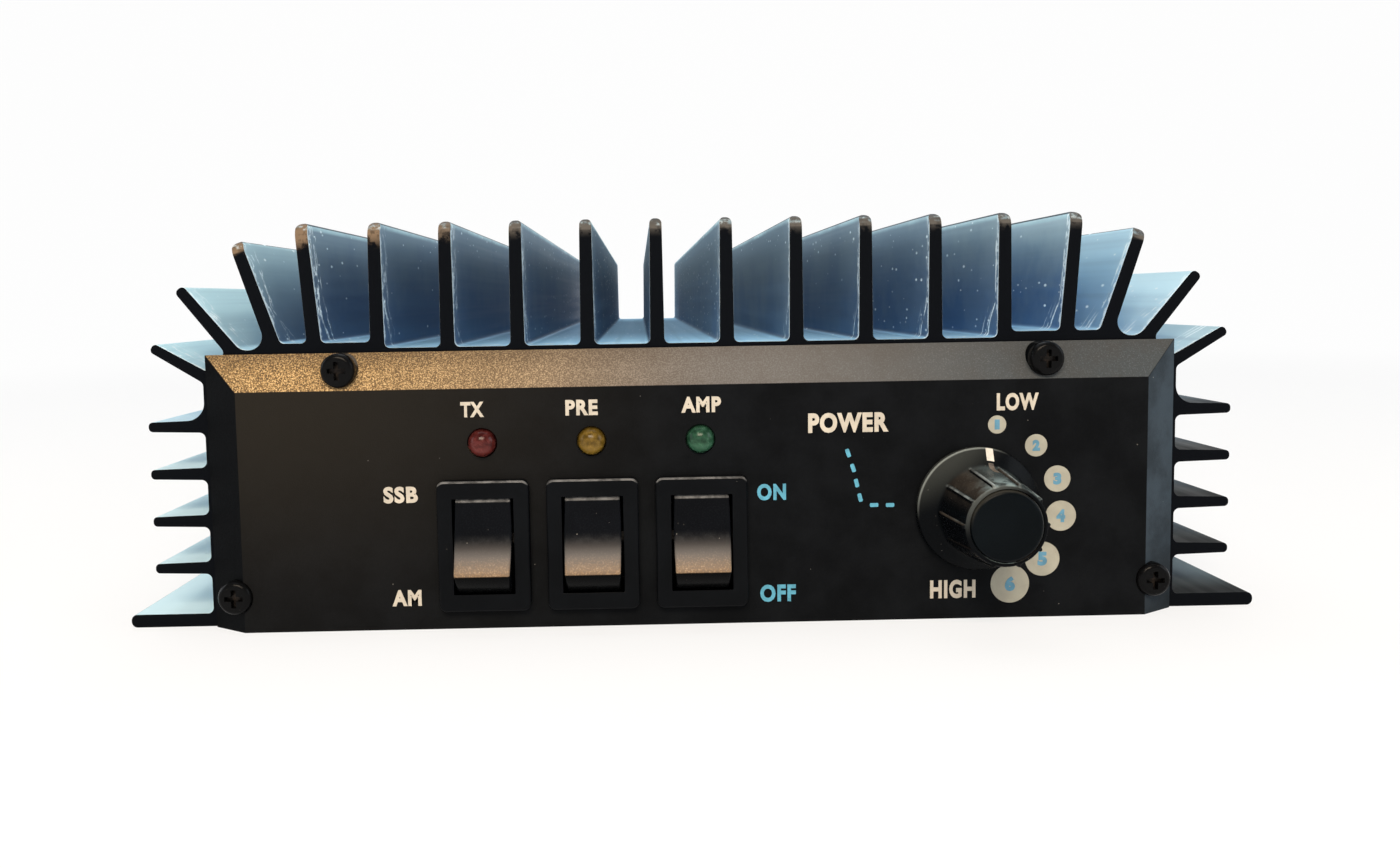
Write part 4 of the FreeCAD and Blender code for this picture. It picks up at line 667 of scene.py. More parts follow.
@dataclass(frozen=True)
class AnodisedFins(Finish):
    """Blue-black anodised extrusion with bare worn corners, scratches and specks, and painted
    reflection and shade.
    """

    # painted reflection: roof fins dark blue low down, greyer high up and towards the right
    low_blue: Colour = (0.118, 0.198, 0.330)
    low_right: Colour = (0.132, 0.262, 0.470)
    high_grey: Colour = (0.245, 0.335, 0.405)
    high_right: Colour = (0.450, 0.600, 0.660)
    streak: Colour = (0.22, 0.32, 0.42)
    # painted reflection on the floor between the roof fins, strongest near the ends
    floor_reflection: Colour = (0.38, 0.70, 0.95)
    # painted reflection and shade on the side fins: pale at the left, dark near the ends at the
    # right, lighter further in
    side_pale: Colour = (0.74, 0.95, 1.0)
    side_dark: Colour = (0.004, 0.006, 0.007)
    side_far: Colour = (0.125, 0.175, 0.205)
    side_mid: Colour = (0.170, 0.235, 0.270)
    # painted reflection on the inner faces of the leaning and corner fins
    fan_left: Colour = (0.62, 0.88, 0.92)
    fan_right: Colour = (0.66, 0.90, 0.98)
    fan_edge: Colour = (0.36, 0.47, 0.47)
    # painted shade on the fins' tips, crests and outer edges
    tip_dark: Colour = (0.030, 0.040, 0.048)
    # painted reflection on the leaning fins
    lean_blue: Colour = (0.36, 0.62, 0.82)
    end_black: Colour = (0.0040, 0.0048, 0.0065)
    bare: Colour = (0.095, 0.088, 0.080)
    # bare metal of the worn corners; warmer at the left with a painted warm reflection
    bare_warm: Colour = (0.185, 0.130, 0.085)
    mark: Colour = (0.80, 0.94, 1.0)
    # painted highlight: the pale line just under the fins' tips
    rim_line: Colour = (0.55, 0.78, 0.84)
    floor_z: float = 46.4 * MM
    tip_z: float = 67.2 * MM
    end_y: float = 105.0 * MM
    wall_half: float = 81.2 * MM
    fan_start: float = 66.0 * MM
    corner_round: float = 2.5 * MM
    # offset from the end, noise scale and half width of the three scratches of each fin
    scratch_lines: tuple[Triple, ...] = ((1.1 * MM, 260.0, 0.34 * MM), (2.3 * MM, 170.0, 0.34 * MM),
                                         (3.9 * MM, 120.0, 0.20 * MM))

    def roof(self, graph: Graph, here: FinPlace, clouds: Socket) -> Socket:
        """Colour of the roof fins and the floor, a painted reflection: dark low down, greyer high
        up and to the right.

        Args:
            graph: The material's graph.
            here: Place and direction on the extrusion.
            clouds: Slow change from 0 to 1.

        Returns:
            The colour's socket.
        """
        x, z = here.x, here.z
        # painted reflection: paler with height and towards the right
        rightward = graph.ramp(x, 15 * MM, 72 * MM)
        lift = graph.times(graph.ramp(x, -12 * MM, 0.0), graph.ramp(x, 34 * MM, 12 * MM, 0.0, 0.42))
        rise = graph.plus(graph.plus(graph.ramp(z, self.floor_z + 4 * MM, self.tip_z + 1 * MM),
                                     graph.ramp(clouds, 0.0, 1.0, -0.14, 0.14)), lift)
        colour = graph.blend(rise, graph.blend(rightward, self.low_blue, self.low_right),
                             graph.blend(rightward, self.high_grey, self.high_right))
        shaded_fin = graph.band(x, (-24 * MM, -16 * MM), (-5 * MM, -8 * MM))
        colour = graph.blend(shaded_fin, colour, graph.blend(0.3, colour, (0.0, 0.0, 0.0)))
        # painted reflection: pale blue on the up-facing floor near the ends
        floor = graph.times(graph.ramp(here.face_z, 0.5, 0.95),
                            graph.ramp(z, self.floor_z + 6 * MM, self.floor_z + 1.5 * MM),
                            graph.ramp(here.from_end, 60 * MM, 0.0, 0.35, 1.0))
        return graph.blend(floor, colour, self.floor_reflection)

    def fan(self, graph: Graph, here: FinPlace, lines: Socket, colour: Socket) -> Socket:
        """Colour with the leaning fins and the slanted corner fins laid over it.

        Their inner faces get a painted pale reflection and the leaning fins a painted blue one.
        Their tips get painted shade where the surface faces away from the fan's foot: the share of
        its direction along the line from there is outward / reach.

        Args:
            graph: The material's graph.
            here: Place and direction on the extrusion.
            lines: Drawn streaks from 0 to 1.
            colour: Colour of the roof.

        Returns:
            The colour's socket.
        """
        x, aside = here.x, here.aside
        above = graph.ramp(here.z, self.floor_z - 14 * MM, self.floor_z - 9 * MM)
        inward = graph.ramp(here.outward, 0.45, 0.10)
        lean = graph.times(graph.ramp(x, self.fan_start - 4 * MM, self.fan_start + 3 * MM), above,
                           inward)
        # painted reflection: blue on the leaning fins, pale on the inner faces
        colour = graph.blend(graph.times(lean, 0.75), colour, self.lean_blue)
        inner = graph.times(graph.ramp(aside, self.fan_start, self.fan_start + 14 * MM), above,
                            inward, graph.ramp(here.face_z, -0.3, 0.0))
        pale = graph.blend(graph.ramp(x, -20 * MM, 20 * MM), self.fan_left, self.fan_right)
        outermost = graph.ramp(x, self.wall_half - 1 * MM, self.wall_half + 10 * MM, 0.0, 0.65)
        pale = graph.blend(outermost, pale, self.fan_edge)
        colour = graph.blend(graph.times(inner, 0.9), colour, pale)
        colour = graph.blend(graph.ramp(lines, 0.4, 0.75, 0.0, 0.22), colour, self.streak)
        across = graph.minus(aside, self.fan_start + 6 * MM)
        up = graph.minus(here.z, self.floor_z - 6 * MM)
        reach = graph.length(across, up)
        outward = graph.plus(graph.times(here.outward, across), graph.times(here.face_z, up))
        # painted shade on the tips that face away from the fan's foot
        tip = graph.times(graph.ramp(graph.over(outward, reach), 0.70, 0.90),
                          graph.ramp(reach, 14 * MM, 16 * MM), above,
                          graph.ramp(aside, self.fan_start + 2 * MM, self.fan_start + 4 * MM))
        return graph.blend(tip, colour, self.tip_dark)

    def sides(self, graph: Graph, here: FinPlace, colour: Socket) -> Socket:
        """Colour with the level side fins laid over it, a painted reflection: pale at the left,
        dark at the right.

        Args:
            graph: The material's graph.
            here: Place and direction on the extrusion.
            colour: Colour of the roof and the fan.

        Returns:
            The colour's socket.
        """
        x, z = here.x, here.z
        right_gap = graph.times(graph.ramp(x, 0.0, 10 * MM),
                                graph.ramp(z, self.floor_z - 4.2 * MM, self.floor_z - 5.4 * MM))
        lower = graph.most(graph.ramp(z, self.floor_z - 9 * MM, self.floor_z - 14 * MM), right_gap)
        low = graph.times(lower, graph.ramp(here.aside, self.wall_half - 6 * MM,
                                            self.wall_half - 2 * MM))
        # painted shade near the ends of the side fins, lighter further in
        dark = graph.blend(graph.ramp(here.from_end, 1.5 * MM, 17 * MM), self.side_dark,
                           self.side_far)
        inner = graph.most(graph.ramp(here.from_end, 24 * MM, 60 * MM),
                           graph.ramp(here.face_z, 0.2, -0.3))
        pale = graph.blend(inner, self.side_pale, self.side_mid)
        side = graph.blend(graph.ramp(x, -10 * MM, 10 * MM), pale, dark)
        colour = graph.blend(low, colour, side)
        # painted shade on the outer tips of the side fins
        outer = graph.times(low, graph.ramp(here.outward, 0.20, 0.50),
                            graph.ramp(here.aside, self.wall_half + 4 * MM,
                                       self.wall_half + 6 * MM))
        return graph.blend(outer, colour, self.tip_dark)

    def scratches(self, graph: Graph, here: FinPlace, clouds: Socket) -> Socket:
        """Pale lines that follow the ends of the fins and swing inwards at their feet.

        They are wavy and broken on the left half and nearly straight on the right half, where
        only the first runs the whole height.

        Args:
            graph: The material's graph.
            here: Place and direction on the extrusion.
            clouds: Slow change from 0 to 1.

        Returns:
            The mask's socket.
        """
        foot = graph.ramp(here.z, self.floor_z + 7 * MM, self.floor_z + 0.5 * MM)
        waviness = graph.ramp(here.x, -50 * MM, 15 * MM, 1.1, 0.28)
        drawn = []
        for offset, scale, width in self.scratch_lines:
            noise = graph.noise(here.place, scale, 4.0, 0.65)
            wobble = graph.times(graph.ramp(noise, 0.25, 0.75, -1.2 * MM, 1.2 * MM), waviness)
            middle = graph.plus(wobble, offset, graph.times(foot, 3.2 * MM))
            away = graph.absolute(graph.minus(here.from_end, middle))
            drawn.append(graph.ramp(away, width, width * 0.3))
        kept = graph.most(graph.ramp(here.x, 0.0, 15 * MM, 1.0, 0.0), graph.times(foot, 0.8))
        lines = graph.most(drawn[0], *(graph.times(line, kept) for line in drawn[1:]))
        broken = graph.ramp(graph.noise(here.place, 520.0, 2.0, 0.5), 0.40, 0.54)
        return graph.times(lines, broken, here.upper, graph.ramp(clouds, 0.2, 0.7, 0.40, 1.0))

    def lit_edges(self, graph: Graph, here: FinPlace, uneven: Socket) -> Socket:
        """Thin pale line on the edges between a fin's end and its face towards the middle.

        Args:
            graph: The material's graph.
            here: Place and direction on the extrusion.
            uneven: Patches from 0.3 to 1.

        Returns:
            The mask's socket.
        """
        inward = graph.ramp(here.outward, -0.15, -0.40)
        on_floor = graph.times(graph.ramp(here.face_z, 0.15, 0.40),
                               graph.ramp(here.z, self.floor_z + 4 * MM, self.floor_z + 2.5 * MM))
        return graph.times(graph.most(inward, on_floor),
                           graph.band(here.ends, (0.08, 0.22), (0.92, 0.80)), here.upper, uneven)

    def bared(self, graph: Graph, here: FinPlace, uneven: Socket) -> Socket:
        """Mask of the corners at the fins' ends that are rubbed down to the metal.

        Args:
            graph: The material's graph.
            here: Place and direction on the extrusion.
            uneven: Patches from 0.3 to 1.

        Returns:
            The mask's socket.
        """
        turned = graph.times(graph.band(here.ends, (0.16, 0.30), (0.992, 0.95)),
                             graph.ramp(here.from_end, self.corner_round + 0.5 * MM,
                                        self.corner_round - 0.2 * MM),
                             graph.ramp(here.z, self.floor_z + 10 * MM, self.floor_z + 13 * MM))
        reach = graph.ramp(here.x, -75 * MM, -15 * MM, 3.6 * MM, 1.6 * MM)
        drop = graph.plus(graph.minus(self.tip_z, here.z),
                          graph.ramp(uneven, 0.3, 1.0, 0.5 * MM, -0.5 * MM))
        worn = graph.times(graph.ramp(drop, graph.plus(reach, 1.2 * MM),
                                      graph.minus(reach, 1.5 * MM)),
                           graph.ramp(here.ends, 0.10, 0.30))
        return graph.times(graph.most(turned, worn), graph.ramp(uneven, 0.3, 1.0, 0.55, 1.0))

    def marks(self, graph: Graph, here: FinPlace, clouds: Socket) -> Socket:
        """Mask of the scratches, the specks and the worn line at the fins' ends.

        Args:
            graph: The material's graph.
            here: Place and direction on the extrusion.
            clouds: Slow change from 0 to 1.

        Returns:
            The mask's socket.
        """
        near_rim = graph.ramp(here.z, self.tip_z - 8 * MM, self.tip_z - 1 * MM, 0.50, 1.0)
        specks = Effects.use(graph, Effect.DUST,
                             Place=graph.stretched(here.place, (1.0, 0.45, 1.0)), Cell=1.5 * MM,
                             Share=near_rim, Radius=0.345 * MM)["Mask"]
        edge = Effects.use(graph, Effect.WEAR, Place=here.place, Distance=here.from_end,
                           Width=0.75 * MM)["Mask"]
        return graph.most(self.scratches(graph, here, clouds), graph.times(specks, here.upper),
                          graph.times(edge, here.upper, 0.7))

    def paint(self) -> bpy.types.Material:
        """Build the material.

        Returns:
            The finished material.
        """
        material, graph, shader = self.start()
        here = FinPlace.read(graph, self.end_y, self.floor_z)
        x, z = here.x, here.z
        clouds = Effects.clouds(graph, 15 * MM)
        lines = Effects.use(graph, Effect.STREAKS, Place=here.place,
                            Stretch=(500.0, 7.0, 500.0))["Value"]
        uneven = graph.patches(here.place, 900.0, 0.3, span=(0.30, 0.60))
        marks = self.marks(graph, here, clouds)
        colour = self.fan(graph, here, lines, self.roof(graph, here, clouds))
        colour = self.sides(graph, here, colour)
        # painted highlight: pale line just under the fins' tips
        rim = graph.times(graph.ramp(z, self.tip_z - 1.4 * MM, self.tip_z - 0.8 * MM),
                          graph.ramp(clouds, 0.0, 1.0, 0.35, 0.8))
        colour = graph.blend(rim, colour, self.rim_line)
        colour = graph.blend(marks, colour, self.mark)
        # painted shade: a dark line along the very top of the fins
        crest = graph.ramp(z, self.tip_z - 0.50 * MM, self.tip_z - 0.25 * MM)
        colour = graph.blend(crest, colour, self.tip_dark)
        black = graph.ramp(here.ends, 0.80, 0.93)
        colour = graph.blend(black, colour, self.end_black)
        lit = graph.times(self.lit_edges(graph, here, uneven), 0.85)
        colour = graph.blend(lit, colour, self.mark)
        # bare metal, with a painted warm reflection at the left
        metal = graph.blend(graph.ramp(x, -58 * MM, -22 * MM), self.bare_warm, self.bare)
        colour = graph.blend(self.bared(graph, here, uneven), colour, metal)
        graph.feed(shader.inputs["Base Color"], colour)

        dull = graph.times(graph.ramp(x, self.fan_start, self.wall_half),
                           graph.ramp(z, self.floor_z - 9 * MM, self.floor_z - 14 * MM))
        plain = graph.minus(1.0, graph.most(black, dull, marks))
        graph.feed(shader.inputs["Metallic"], graph.times(plain, self.metallic))
        middle = graph.ramp(here.aside, 30 * MM, 12 * MM)
        rougher = graph.most(graph.times(black, 0.2), graph.times(middle, 0.25))
        graph.feed(shader.inputs["Roughness"], graph.plus(self.around(graph, lines, 0.15), rougher))
        self.bump(graph, shader, lines, 0.003 * MM)
        return material


@dataclass(frozen=True)
class PowderCoat(Finish):
    """Black powder coat of fine grain, whose bevels look brown, grey or blue-grey by painted
    reflection, glints and shade.
    """

    dust: float = 0.35
    dust_cell: float = 3.0 * MM
    dust_radius: float = 0.12 * MM
    # painted reflection on the upper bevel: warm at the left, sand, then grey at the right
    warm: Colour = (0.46, 0.285, 0.115)
    sand: Colour = (0.155, 0.146, 0.138)
    grey: Colour = (0.056, 0.066, 0.072)
    # painted cool reflection on the right bevel
    cool: Colour = (0.039, 0.055, 0.072)
    # painted shade in the grain's hollows and towards the top of the bevel
    hollow: Colour = (0.060, 0.042, 0.028)
    # painted glints on the grain's tips, warm at the left and grey at the right
    tip: Colour = (0.95, 0.72, 0.40)
    grey_tip: Colour = (0.22, 0.23, 0.24)
    # painted light on the lower left of the front face
    glow: Colour = (0.0172, 0.0152, 0.0124)
    shade: Colour = (0.0008, 0.0011, 0.0016)
    rim_half: float = 80.5 * MM
    bevel_foot: float = 39.7 * MM
    bevel_top: float = 45.7 * MM

    def bevels(self, graph: Graph, place: Socket, grain: dict[str, Socket],
               clouds: Socket) -> Socket:
        """Colour of the upper bevel, a painted reflection: grainy gold brown at its left, plain
        grey at its right.

        Args:
            graph: The material's graph.
            place: Object coordinates.
            grain: Outputs of the grain effect.
            clouds: Slow change from 0 to 1.

        Returns:
            The colour's socket.
        """
        x, _, z = graph.axes(place)
        across = graph.over(x, self.rim_half)
        # painted reflection: warm at the left, through sand, to grey at the right
        tint = graph.blend(graph.ramp(across, -0.85, 0.10), self.warm, self.sand)
        tint = graph.blend(graph.ramp(across, -0.05, 0.80), tint, self.grey)
        coarse = graph.ramp(across, 0.5, -0.9, 0.10, 0.88)
        # painted shade in the grain's hollows
        pits = graph.times(graph.ramp(grain["Height"], 0.60, 0.40), coarse)
        tint = graph.blend(pits, tint, self.hollow)
        # painted glints on the grain's tips
        bright = graph.blend(graph.ramp(across, -0.6, 0.1), self.tip, self.grey_tip)
        tint = graph.blend(graph.times(grain["Glint"], graph.most(coarse, 0.3)), tint, bright)
        # painted shade towards the top of the bevel
        shade = graph.times(graph.ramp(z, self.bevel_foot + 2.2 * MM, self.bevel_top),
                            graph.ramp(across, 0.4, -0.6, 0.10, 0.48))
        tint = graph.blend(shade, tint, self.hollow)
        return graph.blend(graph.ramp(clouds, 0.0, 1.0, 0.0, 0.18), tint, self.hollow)

    def paint(self) -> bpy.types.Material:
        """Build the material.

        Returns:
            The finished material.
        """
        material, graph, shader = self.start()
        place = graph.place()
        x, _, z = graph.axes(place)
        face_x, _, face_z = graph.facing()
        grain = Effects.use(graph, Effect.GRAIN, Place=place, Size=self.grain_size)
        clouds = Effects.clouds(graph, 10 * MM)
        top = graph.band(face_z, (0.2, 0.5), (0.97, 0.9))
        right = graph.band(face_x, (0.2, 0.5), (0.97, 0.9))
        # painted light on the lower left of the front face
        lit = graph.times(graph.ramp(x, 0.1 * self.rim_half, -0.9 * self.rim_half),
                          graph.ramp(z, 0.0, self.bevel_foot, 0.15, 1.0))
        colour = graph.blend(graph.times(lit, graph.ramp(face_x, -0.2, -0.05)), self.tone(graph),
                             self.glow)
        colour = graph.blend(top, colour, self.bevels(graph, place, grain, clouds))
        colour = graph.blend(graph.ramp(face_x, -0.2, -0.5), colour, self.shade)
        # painted cool reflection on the right-facing bevel
        cool = graph.times(right, graph.ramp(clouds, 0.0, 1.0, 0.5, 1.0),
                           graph.ramp(z, 1 * MM, 16 * MM, 0.45, 1.0))
        colour = graph.blend(cool, colour, self.cool)
        colour = graph.blend(graph.times(self.specks(graph), 0.5), colour, self.dust_colour)
        graph.feed(shader.inputs["Base Color"], colour)
        graph.feed(shader.inputs["Roughness"], self.around(graph, grain["Height"], 0.15))
        self.bump(graph, shader, grain["Height"], self.grain_depth)
        return material


@dataclass(frozen=True)
class EdgedPlastic(Finish):
    """Moulded black plastic with a painted highlight on its upper edges."""

    # painted highlight on the upper edges
    edge: Colour = (0.16, 0.16, 0.16)

    def tone(self, graph: Graph) -> Socket:
        """Base colour: the plain tone, with a painted highlight where the surface turns from front
        to top.

        Args:
            graph: The material's graph.

        Returns:
            The colour's socket.
        """
        _, _, z = graph.axes(graph.place())
        _, face_y, face_z = graph.facing()
        # painted highlight where the surface turns from front to top
        top_edge_highlight = graph.times(graph.band(face_z, (0.22, 0.45), (0.97, 0.85)),
                              graph.ramp(face_y, -0.12, -0.35), graph.ramp(z, 14 * MM, 16 * MM))
        rough = graph.patches(graph.place(), 700.0, 0.35)
        return graph.blend(graph.times(top_edge_highlight, rough), super().tone(graph), self.edge)


@dataclass(frozen=True)
class RockerPlastic(EdgedPlastic):
    """Rocker plastic with a painted warm reflection on its lower lip and painted shade on its
    skirts.
    """

    # painted warm reflection on the lower lip
    lip: Colour = (0.285, 0.180, 0.094)
    # painted sheen from the middle of the paddle down
    middle: Colour = (0.125, 0.115, 0.109)
    # painted glints on the grain of the lower half
    glint: Colour = (0.62, 0.52, 0.43)
    # painted shade on the downward-facing skirts
    skirt: Colour = (0.0012, 0.0014, 0.0016)
    pivot_z: float = 14.0 * MM
    lip_z: float = 8.6 * MM

    def tone(self, graph: Graph) -> Socket:
        """Base colour: dark at the top, a painted grey sheen from the middle down, a painted warm
        reflection on the grainy lip.

        Args:
            graph: The material's graph.

        Returns:
            The colour's socket.
        """
        place = graph.place()
        _, _, z = graph.axes(place)
        _, face_y, face_z = graph.facing()
        front = graph.ramp(face_y, -0.35, -0.70)
        grain = Effects.use(graph, Effect.GRAIN, Place=place, Size=0.26 * MM)
        colour = super().tone(graph)
        # painted sheen from the middle of the face down
        grey = graph.times(front, graph.ramp(z, self.pivot_z + 1.6 * MM, self.pivot_z - 2.0 * MM))
        colour = graph.blend(grey, colour, self.middle)
        # painted warm reflection on the lower lip, broken up by the grain
        warm = graph.times(front, graph.ramp(z, self.pivot_z - 0.8 * MM, self.lip_z + 0.3 * MM),
                           graph.ramp(grain["Height"], 0.40, 0.58, 0.55, 1.0))
        colour = graph.blend(warm, colour, self.lip)
        # painted glints on the grain of the lower half
        glint = graph.times(front, graph.ramp(z, self.pivot_z, self.lip_z), grain["Glint"], 0.45)
        colour = graph.blend(glint, colour, self.glint)
        # painted shade where the surface faces down
        under = graph.ramp(face_z, -0.05, -0.30)
        return graph.blend(under, colour, self.skirt)


@dataclass(frozen=True)
class KnobPlastic(Finish):
    """Gloss plastic of the knob with painted highlights on its upper body, ribs and skirt, dark
    round the rest.
    """

    # painted highlights on the upper body, the front and the ribs
    warm_highlight: Colour = (0.044, 0.036, 0.029)
    cool_highlight: Colour = (0.050, 0.064, 0.066)
    front_highlight: Colour = (0.20, 0.26, 0.265)
    # painted highlight along the upper ribs
    rib_highlight: Colour = (0.34, 0.38, 0.38)
    # painted highlight on the upper left of the skirt
    skirt_highlight: Colour = (0.034, 0.037, 0.035)
    # painted highlight on the skirt's rim and on the front land
    rim: Colour = (0.20, 0.22, 0.21)
    centre: Pair = (46.3 * MM, 18.6 * MM)
    body_radius: float = 7.3 * MM
    skirt_radius: float = 10.2 * MM
    front_y: float = -123.0 * MM
    rib_highlight_strength: float = 0.50
    lit_from: Pair = (-0.57, 0.82)    # across and up, the side of the skirt's painted highlight

    def tone(self, graph: Graph) -> Socket:
        """Base colour with painted highlights, by the distance from the knob's line and the way the
        surface faces.

        Args:
            graph: The material's graph.

        Returns:
            The colour's socket.
        """
        x, y, z = graph.axes(graph.place())
        face_x, face_y, face_z = graph.facing()
        across = graph.minus(x, self.centre[0])
        up = graph.minus(z, self.centre[1])
        radius = graph.length(across, up)
        clouds = Effects.clouds(graph, 2.5 * MM)
        body = graph.ramp(radius, self.body_radius + 0.5 * MM, self.body_radius - 0.1 * MM)
        # painted highlight on the upward-facing body, warm at the left and cool at the right
        body_highlight = graph.blend(graph.ramp(face_x, -0.60, 0.05), self.warm_highlight, self.cool_highlight)
        # painted highlight near the front
        near_front = graph.times(graph.ramp(y, self.front_y + 5.5 * MM, self.front_y + 1.0 * MM),
                                 graph.band(face_x, (-0.75, 0.0), (0.75, 0.3)),
                                 graph.ramp(clouds, 0.25, 0.8))
        body_highlight = graph.blend(near_front, body_highlight, self.front_highlight)
        colour = graph.blend(graph.times(body, graph.ramp(face_z, 0.25, 0.95),
                                         graph.ramp(clouds, 0.2, 0.8, 0.7, 1.0)),
                             super().tone(graph), body_highlight)
        pitch = 2 * math.pi / KNOB_RIBS
        turn = graph.minus(graph.math("ARCTAN2", across, up), FIRST_RIB)
        offset = graph.absolute(graph.math("WRAP", turn, pitch / 2, -pitch / 2))
        line = graph.ramp(graph.times(offset, radius), 0.34 * MM, 0.10 * MM)
        # painted highlight along the upper ribs
        rubbed = graph.times(body, line, graph.ramp(face_z, 0.30, 0.62, 0.0, self.rib_highlight_strength),
                             graph.ramp(graph.over(up, radius), 0.15, 0.55),
                             graph.ramp(clouds, 0.1, 0.7, 0.4, 1.0))
        colour = graph.blend(rubbed, colour, self.rib_highlight)
        # painted highlight on the upper left of the skirt
        side = graph.over(graph.plus(graph.times(across, self.lit_from[0]),
                                     graph.times(up, self.lit_from[1])), self.skirt_radius)
        outer = graph.minus(1.0, body)
        colour = graph.blend(graph.times(outer, graph.ramp(side, 0.45, 1.0)), colour,
                             self.skirt_highlight)
        # painted highlight on the upper left of the skirt's rim
        edge = graph.ramp(radius, self.skirt_radius - 0.35 * MM, self.skirt_radius - 0.15 * MM)
        colour = graph.blend(graph.times(edge, graph.ramp(side, 0.4, 0.95),
                                         graph.ramp(face_y, -0.2, -0.5)), colour, self.rim)
        # painted highlight on the ring round the front
        land_highlight = graph.times(graph.band(radius, (6.5 * MM, 6.3 * MM), (5.6 * MM, 5.8 * MM)),
                           graph.ramp(face_y, -0.25, -0.55), graph.ramp(side, 0.15, 0.75))
        return graph.blend(graph.times(land_highlight, 0.35), colour, self.rim)


@dataclass(frozen=True)
class CapPlastic(Finish):
    """Satin plastic of the knob's cap, with painted highlights round its rim."""

    # painted highlights on the rim
    warm_rim_highlight: Colour = (0.026, 0.025, 0.021)
    pale_rim_highlight: Colour = (0.15, 0.165, 0.165)
    lit_from: Pair = (-0.36, 0.93)    # across and up, the side of the rim's painted warm highlight

    def tone(self, graph: Graph) -> Socket:
        """Base colour: black, with a painted warm highlight where the rim turns up and left, and a
        painted pale one where it turns right.

        Args:
            graph: The material's graph.

        Returns:
            The colour's socket.
        """
        face_x, face_y, face_z = graph.facing()
        turned = graph.ramp(face_y, -0.98, -0.65)
        upper = graph.plus(graph.times(face_x, self.lit_from[0]),
                           graph.times(face_z, self.lit_from[1]))
        colour = graph.blend(graph.times(turned, graph.ramp(upper, 0.20, 0.80)),
                             super().tone(graph), self.warm_rim_highlight)
        # painted pale highlight where the rim turns right
        right = graph.times(graph.ramp(face_x, 0.55, 0.85), graph.ramp(face_y, -0.75, -0.45))
        return graph.blend(graph.times(right, 0.8), colour, self.pale_rim_highlight)


@dataclass(frozen=True)
class HeadPaint(Finish):
    """Black screw head with dust lying in its cross recess."""

    recess_dust: Colour = (0.024, 0.019, 0.016)
    head_y: float = 109.95 * MM

    def tone(self, graph: Graph) -> Socket:
        """Base colour: black, and dusty brown on faces that lie below the head's front.

        Args:
            graph: The material's graph.

        Returns:
            The colour's socket.
        """
        _, y, _ = graph.axes(graph.place())
        _, face_y, _ = graph.facing()
        below = graph.ramp(graph.absolute(y), self.head_y - 0.45 * MM, self.head_y - 0.8 * MM)
        sunk = graph.times(below, graph.ramp(graph.absolute(face_y), 0.8, 0.95))
        rough = graph.patches(graph.place(), 900.0, 0.2)
        return graph.blend(graph.times(sunk, rough), super().tone(graph), self.recess_dust)


@dataclass(frozen=True)
class TintedLens(Finish):
    """Tinted moulded resin of an indicator, with painted shade at its foot and a painted bright
    crescent low down.
    """

    clear: float = 0.05
    shaded: bool = True

    def paint(self) -> bpy.types.Material:
        """Build the material.

        Returns:
            The finished material.
        """
        material, graph, shader = self.start()
        place = graph.place()
        clouds = Effects.clouds(graph, 0.9 * MM)
        colour = graph.blend(clouds, self.toned(0.55), self.toned(1.5, 0.01))
        if self.shaded:
            _, face_y, face_z = graph.facing()
            front = graph.absolute(face_y)
            # painted light: a bright crescent low on the dome
            crescent = graph.times(graph.ramp(face_z, -0.10, -0.40), graph.ramp(front, 0.45, 0.70))
            colour = graph.blend(graph.times(crescent, 0.6), colour, self.toned(2.3, 0.02))
            # painted shade where the dome turns away at its foot
            colour = graph.blend(graph.ramp(front, 0.62, 0.25, 0.0, 0.9), colour, self.toned(0.12))
        graph.feed(shader.inputs["Base Color"], colour)
        graph.feed(shader.inputs["Roughness"], self.around(graph, clouds, 0.3, (0.0, 1.0)))
        shader.inputs["Transmission Weight"].default_value = self.clear
        shader.inputs["IOR"].default_value = 1.5
        grain = Effects.use(graph, Effect.GRAIN, Place=place, Size=self.grain_size)
        self.bump(graph, shader, grain["Height"], self.grain_depth)
        return material


